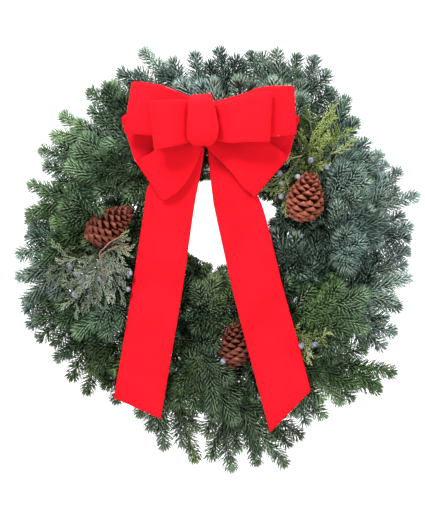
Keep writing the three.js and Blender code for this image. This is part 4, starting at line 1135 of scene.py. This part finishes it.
# Each pair's node and rows, its pleats and bulge, and whether its edges glint
LOOP_PAIRS = [
    ("bow_loops_back", BACK_LEFT, BACK_RIGHT, 4, 2, True),
    ("bow_loops_front", FRONT_LEFT, FRONT_RIGHT, 4, 2, True),
    ("bow_loops_low", LOW_LEFT, LOW_RIGHT, 4, 0.5, False),
]
LOOP_STEPS, KNOT_STEPS, TAIL_STEPS = 8, 6, 14
TAIL_PLEATS = 2.5
BEHIND_KNOT = [(-20, 172, -16, 158, 91.5), (-16, 172, -12, 158, 91.5)]

# The knot's band is the same ribbon folded narrower, to this share of its width
KNOT_PLEATS, KNOT_BULGE = 3.0, 1.5
KNOT_SHARE = 0.62


def add_ribbon(node, grid, held, rests_on, area_share=None, closed=True, **looks):
    """A sheet of ribbon in place of the frame's."""
    made = ribbon_object("velvet_" + node, grid, closed, **looks)
    hand_over(made, node)


def add_bow():
    for node, left, right, pleats, bulge, glints in LOOP_PAIRS:
        grid = np.concatenate([ribbon_grid(rows, LOOP_STEPS, pleats, bulge)[:-1] for rows in (left, right)])
        add_ribbon(node, grid, "folded", ["bow_knot"], glints=glints)
    knot = ribbon_grid(KNOT_ROWS + KNOT_ROWS[:1], KNOT_STEPS, KNOT_PLEATS, KNOT_BULGE)[:-1]
    add_ribbon("bow_knot", knot, "gathered", ["bow_loops_front"], area_share=KNOT_SHARE)
    left, right = [ribbon_grid(rows, TAIL_STEPS, TAIL_PLEATS)[:, ::-1] for rows in (LEFT_TAIL, RIGHT_TAIL)]
    tails = np.concatenate([left[::-1], ribbon_grid(BEHIND_KNOT, 1)[:1], right])
    add_ribbon("bow_tails", tails, "hung", ["bow_knot"], closed=False, turned_rows=len(right))


# Materials
def set_input(node, name, value):
    node.inputs[name].default_value = value


def node_material(name, roughness):
    made = bpy.data.materials.new(name)
    made.use_nodes = True
    shader = made.node_tree.nodes["Principled BSDF"]
    set_input(shader, "Roughness", roughness)
    return made, made.node_tree, shader


def paint(tree, shader, colour):
    tree.links.new(colour, shader.inputs["Base Color"])


def linear(colour):
    """A colour given as 0 to 255 on a screen, as Blender's linear numbers."""
    values = [c / 255 for c in colour]
    return [v / 12.92 if v <= 0.04045 else ((v + 0.055) / 1.055) ** 2.4 for v in values] + [1]


BLACK, WHITE = (0, 0, 0), (255, 255, 255)


def grey(level):
    return (level, level, level)


def ramp(tree, value, stops):
    node = tree.nodes.new("ShaderNodeValToRGB")
    elements = node.color_ramp.elements
    while len(elements) < len(stops):
        elements.new(0.5)
    for element, (position, colour) in zip(elements, stops):
        element.position = position
        element.color = linear(colour)
    tree.links.new(value, node.inputs["Fac"])
    return node.outputs["Color"]


def noise(tree, scale, detail=3):
    coordinates = tree.nodes.new("ShaderNodeTexCoord")
    node = tree.nodes.new("ShaderNodeTexNoise")
    set_input(node, "Scale", scale)
    set_input(node, "Detail", detail)
    tree.links.new(coordinates.outputs["Object"], node.inputs["Vector"])
    return node.outputs["Fac"]


def mixed(tree, share, first, second, kind="MIX"):
    node = tree.nodes.new("ShaderNodeMix")
    node.data_type = "RGBA"
    node.blend_type = kind
    for value, socket in ((share, node.inputs[0]), (first, node.inputs[6]), (second, node.inputs[7])):
        if isinstance(value, bpy.types.NodeSocket):
            tree.links.new(value, socket)
        else:
            socket.default_value = value
    return node.outputs[2]


def multiplied(tree, colour, *others):
    for other in others:
        colour = mixed(tree, 1.0, colour, other, "MULTIPLY")
    return colour


def speckled(tree, scale, *stops, detail=3):
    """A ramp of colours over noise."""
    return ramp(tree, noise(tree, scale, detail), stops)


def graded(tree, name, *stops):
    """A ramp of colours over one of the meshes' attributes."""
    node = tree.nodes.new("ShaderNodeAttribute")
    node.attribute_name = name
    return ramp(tree, node.outputs["Fac"], stops)


def bump(tree, shader, scale, strength, distance):
    node = tree.nodes.new("ShaderNodeBump")
    set_input(node, "Strength", strength)
    set_input(node, "Distance", distance)
    tree.links.new(noise(tree, scale), node.inputs["Height"])
    tree.links.new(node.outputs["Normal"], shader.inputs["Normal"])


def foliage_look(name, dark, middle, pale, warmest=(244, 255, 206)):
    """Leaves painted darker towards the root, as painted shade where they crowd along the twig, in patches
    of warmer and cooler green.
    """
    material, tree, shader = node_material(name, roughness=0.48)
    body = graded(tree, "tint", (0.0, dark), (0.5, middle), (1.0, pale))
    # Painted shade: each leaf darker towards its root.
    length = graded(tree, "along", (0.0, grey(170)), (0.6, grey(235)), (1.0, WHITE))
    patches = speckled(tree, 22, (0.3, grey(205)), (0.7, WHITE))
    hue = speckled(tree, 9, (0.38, (238, 246, 255)), (0.5, (250, 252, 242)), (0.64, warmest), detail=1)
    paint(tree, shader, multiplied(tree, body, length, hue, patches))
    set_input(shader, "Specular IOR Level", 0.35)
    return material


def speckled_look(name, roughness, scale, stops, bumps, metallic=0):
    """Speckles of the stops' colours, and bumps by their scale, strength and height."""
    material, tree, shader = node_material(name, roughness)
    paint(tree, shader, speckled(tree, scale, *stops))
    set_input(shader, "Metallic", metallic)
    bump(tree, shader, *bumps)
    return material


def bark_look(name, dark, pale):
    return speckled_look(name, 0.8, 300, [(0.3, dark), (0.7, pale)], (600, 0.4, 0.0004))


def metal_look(name, colour, worn):
    return speckled_look(name, 0.42, 180, [(0.4, colour), (0.75, worn)], (500, 0.2, 0.0003), metallic=0.6)


def cone_look():
    """Scales painted darker at their roots, as painted shade in the gaps between them, and paler to their
    ends, as painted light; each in a tone of its own, which for the left cone holds painted shade.
    """
    material, tree, shader = node_material("cone_skin", roughness=0.6)
    set_input(shader, "Specular IOR Level", 0.25)
    # Painted shade and light: dark at a scale's root, pale at its end.
    shaded_root_lit_end_browns = [(0.0, (112, 50, 34)), (0.5, (128, 60, 42)), (0.85, (146, 70, 48)), (1.0, (168, 104, 84))]
    body = graded(tree, "along", *shaded_root_lit_end_browns)
    grain = speckled(tree, 420, (0.35, (190, 180, 172)), (0.65, WHITE))
    # How pale each cone is, with some random tone for each scale; the left cone's low value is painted
    # shade.
    each = graded(tree, "tint", (0.0, (160, 140, 138)), (1.0, (255, 250, 246)))
    paint(tree, shader, multiplied(tree, body, grain, each))
    bump(tree, shader, 700, 0.35, 0.0005)
    return material


SHEEN_TINT = (255, 60, 70)
# The colour of the painted highlights on the ribbons' edges
EDGE_GLINT = (236, 116, 124)
NEAR_EDGES = [(0.0, WHITE), (0.018, BLACK), (0.972, BLACK), (0.99, WHITE)]


def velvet_look(name, dark, pale, roughness, sheen):
    """Nap with soft patches; where the ribbon has glints, its edges get painted highlights: pale pink spots
    in places.
    """
    material, tree, shader = node_material(name, roughness)
    nap = speckled(tree, 28, (0.3, dark), (0.7, pale), detail=2)
    edge = graded(tree, "along", *NEAR_EDGES)
    # Painted highlights: noise picks the spots along the edges that are painted as glints.
    worn = speckled(tree, 46, (0.59, BLACK), (0.68, WHITE), detail=2)
    glint = multiplied(tree, edge, worn)
    paint(tree, shader, mixed(tree, glint, nap, linear(EDGE_GLINT)))
    bump(tree, shader, 2600, 0.25, 0.0003)
    set_input(shader, "Sheen Weight", sheen)
    set_input(shader, "Sheen Roughness", 0.4)
    set_input(shader, "Sheen Tint", linear(SHEEN_TINT))
    set_input(shader, "Specular IOR Level", 0.08)
    return material


COOL, WARM = (238, 250, 238), (250, 252, 226)
NEEDLE_LOOKS = {
    "blue": foliage_look("needles_blue_look", (42, 64, 52), (100, 128, 112), (186, 208, 196), COOL),
    "green": foliage_look("needles_green_look", (34, 58, 32), (82, 118, 78), (154, 182, 144)),
    "dark": foliage_look("needles_dark_look", (32, 50, 28), (76, 104, 64), (144, 166, 128)),
}
JUNIPER_LOOKS = {
    "yellow": foliage_look("juniper_yellow_look", (62, 80, 36), (148, 166, 90), (216, 226, 158)),
    "grey": foliage_look("juniper_grey_look", (58, 72, 48), (150, 160, 130), (222, 226, 202), WARM),
}
BARK = bark_look("bark", (46, 56, 38), (80, 90, 60))
TWIG_SKIN = bark_look("twig_skin", (128, 82, 68), (176, 124, 106))
FROST = [(0.35, (66, 72, 92)), (0.62, (132, 138, 154))]
BERRY_SKIN = speckled_look("berry_skin", 0.55, 260, FROST, (900, 0.2, 0.0002))
CONE_SKIN = cone_look()
VELVET = velvet_look("velvet_face", (206, 12, 26), (212, 16, 31), 0.85, 0.03)
# Painted shade: the back, seen on the insides of the loops, is a little darker than the face.
RIBBON_BACK = velvet_look("ribbon_back", (200, 6, 24), (210, 12, 30), 0.7, 0.02)
# Painted highlights: the cut edges are red speckled with pale pink glints.
GLINTING_RIBBON_EDGE = velvet_look("ribbon_edge", (206, 10, 28), (240, 150, 160), 0.5, 0.03)
RING_METAL = metal_look("ring_metal", (52, 66, 56), (92, 100, 90))
TIE_METAL = metal_look("tie_metal", (60, 74, 58), (104, 110, 96))


def dress_frame():
    """The frame's own metal nodes keep their shape and get their finish."""
    for name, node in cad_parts.items():
        look = RING_METAL if name == "ring_frame" else TIE_METAL if name.endswith("_wire") else None
        if look:
            node.data.materials.clear()
            node.data.materials.append(look)


# Studio and camera
SENSOR = 36


def add_camera():
    camera = bpy.data.cameras.new("camera")
    camera.sensor_width = SENSOR
    camera.lens = SENSOR * (CAMERA_DISTANCE - BOW_PLANE) / (PHOTO_HEIGHT * MM_PER_PIXEL * MM)
    placed = link_object("camera", camera)
    placed.location = (PICTURE_MIDDLE[0] * MM, -CAMERA_DISTANCE, (RING_CENTRE_Z + PICTURE_MIDDLE[1]) * MM)
    placed.rotation_euler = (math.pi / 2, 0, 0)
    bpy.context.scene.camera = placed


# Each lamp's name, place, aim, size and power, in metres and watts
LIGHTS = [
    ("key", (-1.0, -2.2, 1.7), (0, 0, -0.15), 0.9, 104),
    ("fill", (1.6, -2.2, 0.3), (0, 0, -0.15), 1.8, 34),
    ("wash", (0, 0.15, 1.9), (0, 0.9, -0.4), 1.6, 70),
]
WORLD_STRENGTH = 0.45


def add_light(name, place, aim, size, power):
    light = bpy.data.lights.new(name, "AREA")
    light.size = size
    light.energy = power
    placed = link_object(name, light)
    placed.location = place
    way = np.array(aim, float) - np.array(place, float)
    yaw = math.atan2(way[0], -way[1])
    placed.rotation_euler = (math.acos(-way[2] / np.linalg.norm(way)), 0, yaw + math.pi)


FLOOR_Z = -2.0
FLOOR_FRONT_Y = -9
BACKDROP_Y = 6.5
BACKDROP_TOP = 6
STUDIO_HALF_WIDTH = 12
BEND_RADIUS = 1.0
BEND_POINTS = 13
PAPER = (0.92, 0.92, 0.94, 1)
PAPER_GLOW = 0.7
PURE_WHITE = (1, 1, 1, 1)


def add_stage():
    """One pale sheet: a floor that bends up into a backdrop, lit a little by itself."""
    start_y = BACKDROP_Y - BEND_RADIUS
    bend = [(start_y + BEND_RADIUS * math.sin(angle), FLOOR_Z + BEND_RADIUS * (1 - math.cos(angle)))
            for angle in np.linspace(0, math.pi / 2, BEND_POINTS)]
    profile = [(FLOOR_FRONT_Y, FLOOR_Z), *bend, (BACKDROP_Y, BACKDROP_TOP)]
    points = [(x, y, z) for y, z in profile for x in (-STUDIO_HALF_WIDTH, STUDIO_HALF_WIDTH)]
    faces = [(2 * i, 2 * i + 1, 2 * i + 3, 2 * i + 2) for i in range(len(profile) - 1)]
    mesh = bpy.data.meshes.new("studio")
    mesh.from_pydata(points, [], faces)
    for polygon in mesh.polygons:
        polygon.use_smooth = True
    material, _, shader = node_material("studio_paper", 0.9)
    set_input(shader, "Base Color", PAPER)
    set_input(shader, "Emission Color", PURE_WHITE)
    set_input(shader, "Emission Strength", PAPER_GLOW)
    mesh.materials.append(material)
    link_object("studio", mesh)


def add_world():
    world = bpy.data.worlds.new("world")
    world.use_nodes = True
    background = world.node_tree.nodes["Background"]
    set_input(background, "Color", PURE_WHITE)
    set_input(background, "Strength", WORLD_STRENGTH)
    bpy.context.scene.world = world


add_camera()
grow_firs()
for number, spray in enumerate(JUNIPERS):
    grow_juniper(*spray, seed=JUNIPER_SEED + number)
add_forked_twig()
for number, cone in enumerate(CONES):
    add_cone(*cone, seed=CONE_SEED + number)
add_bow()
dress_frame()
add_stage()
add_world()
for light in LIGHTS:
    add_light(*light)
bpy.context.scene.view_settings.view_transform = "Standard"
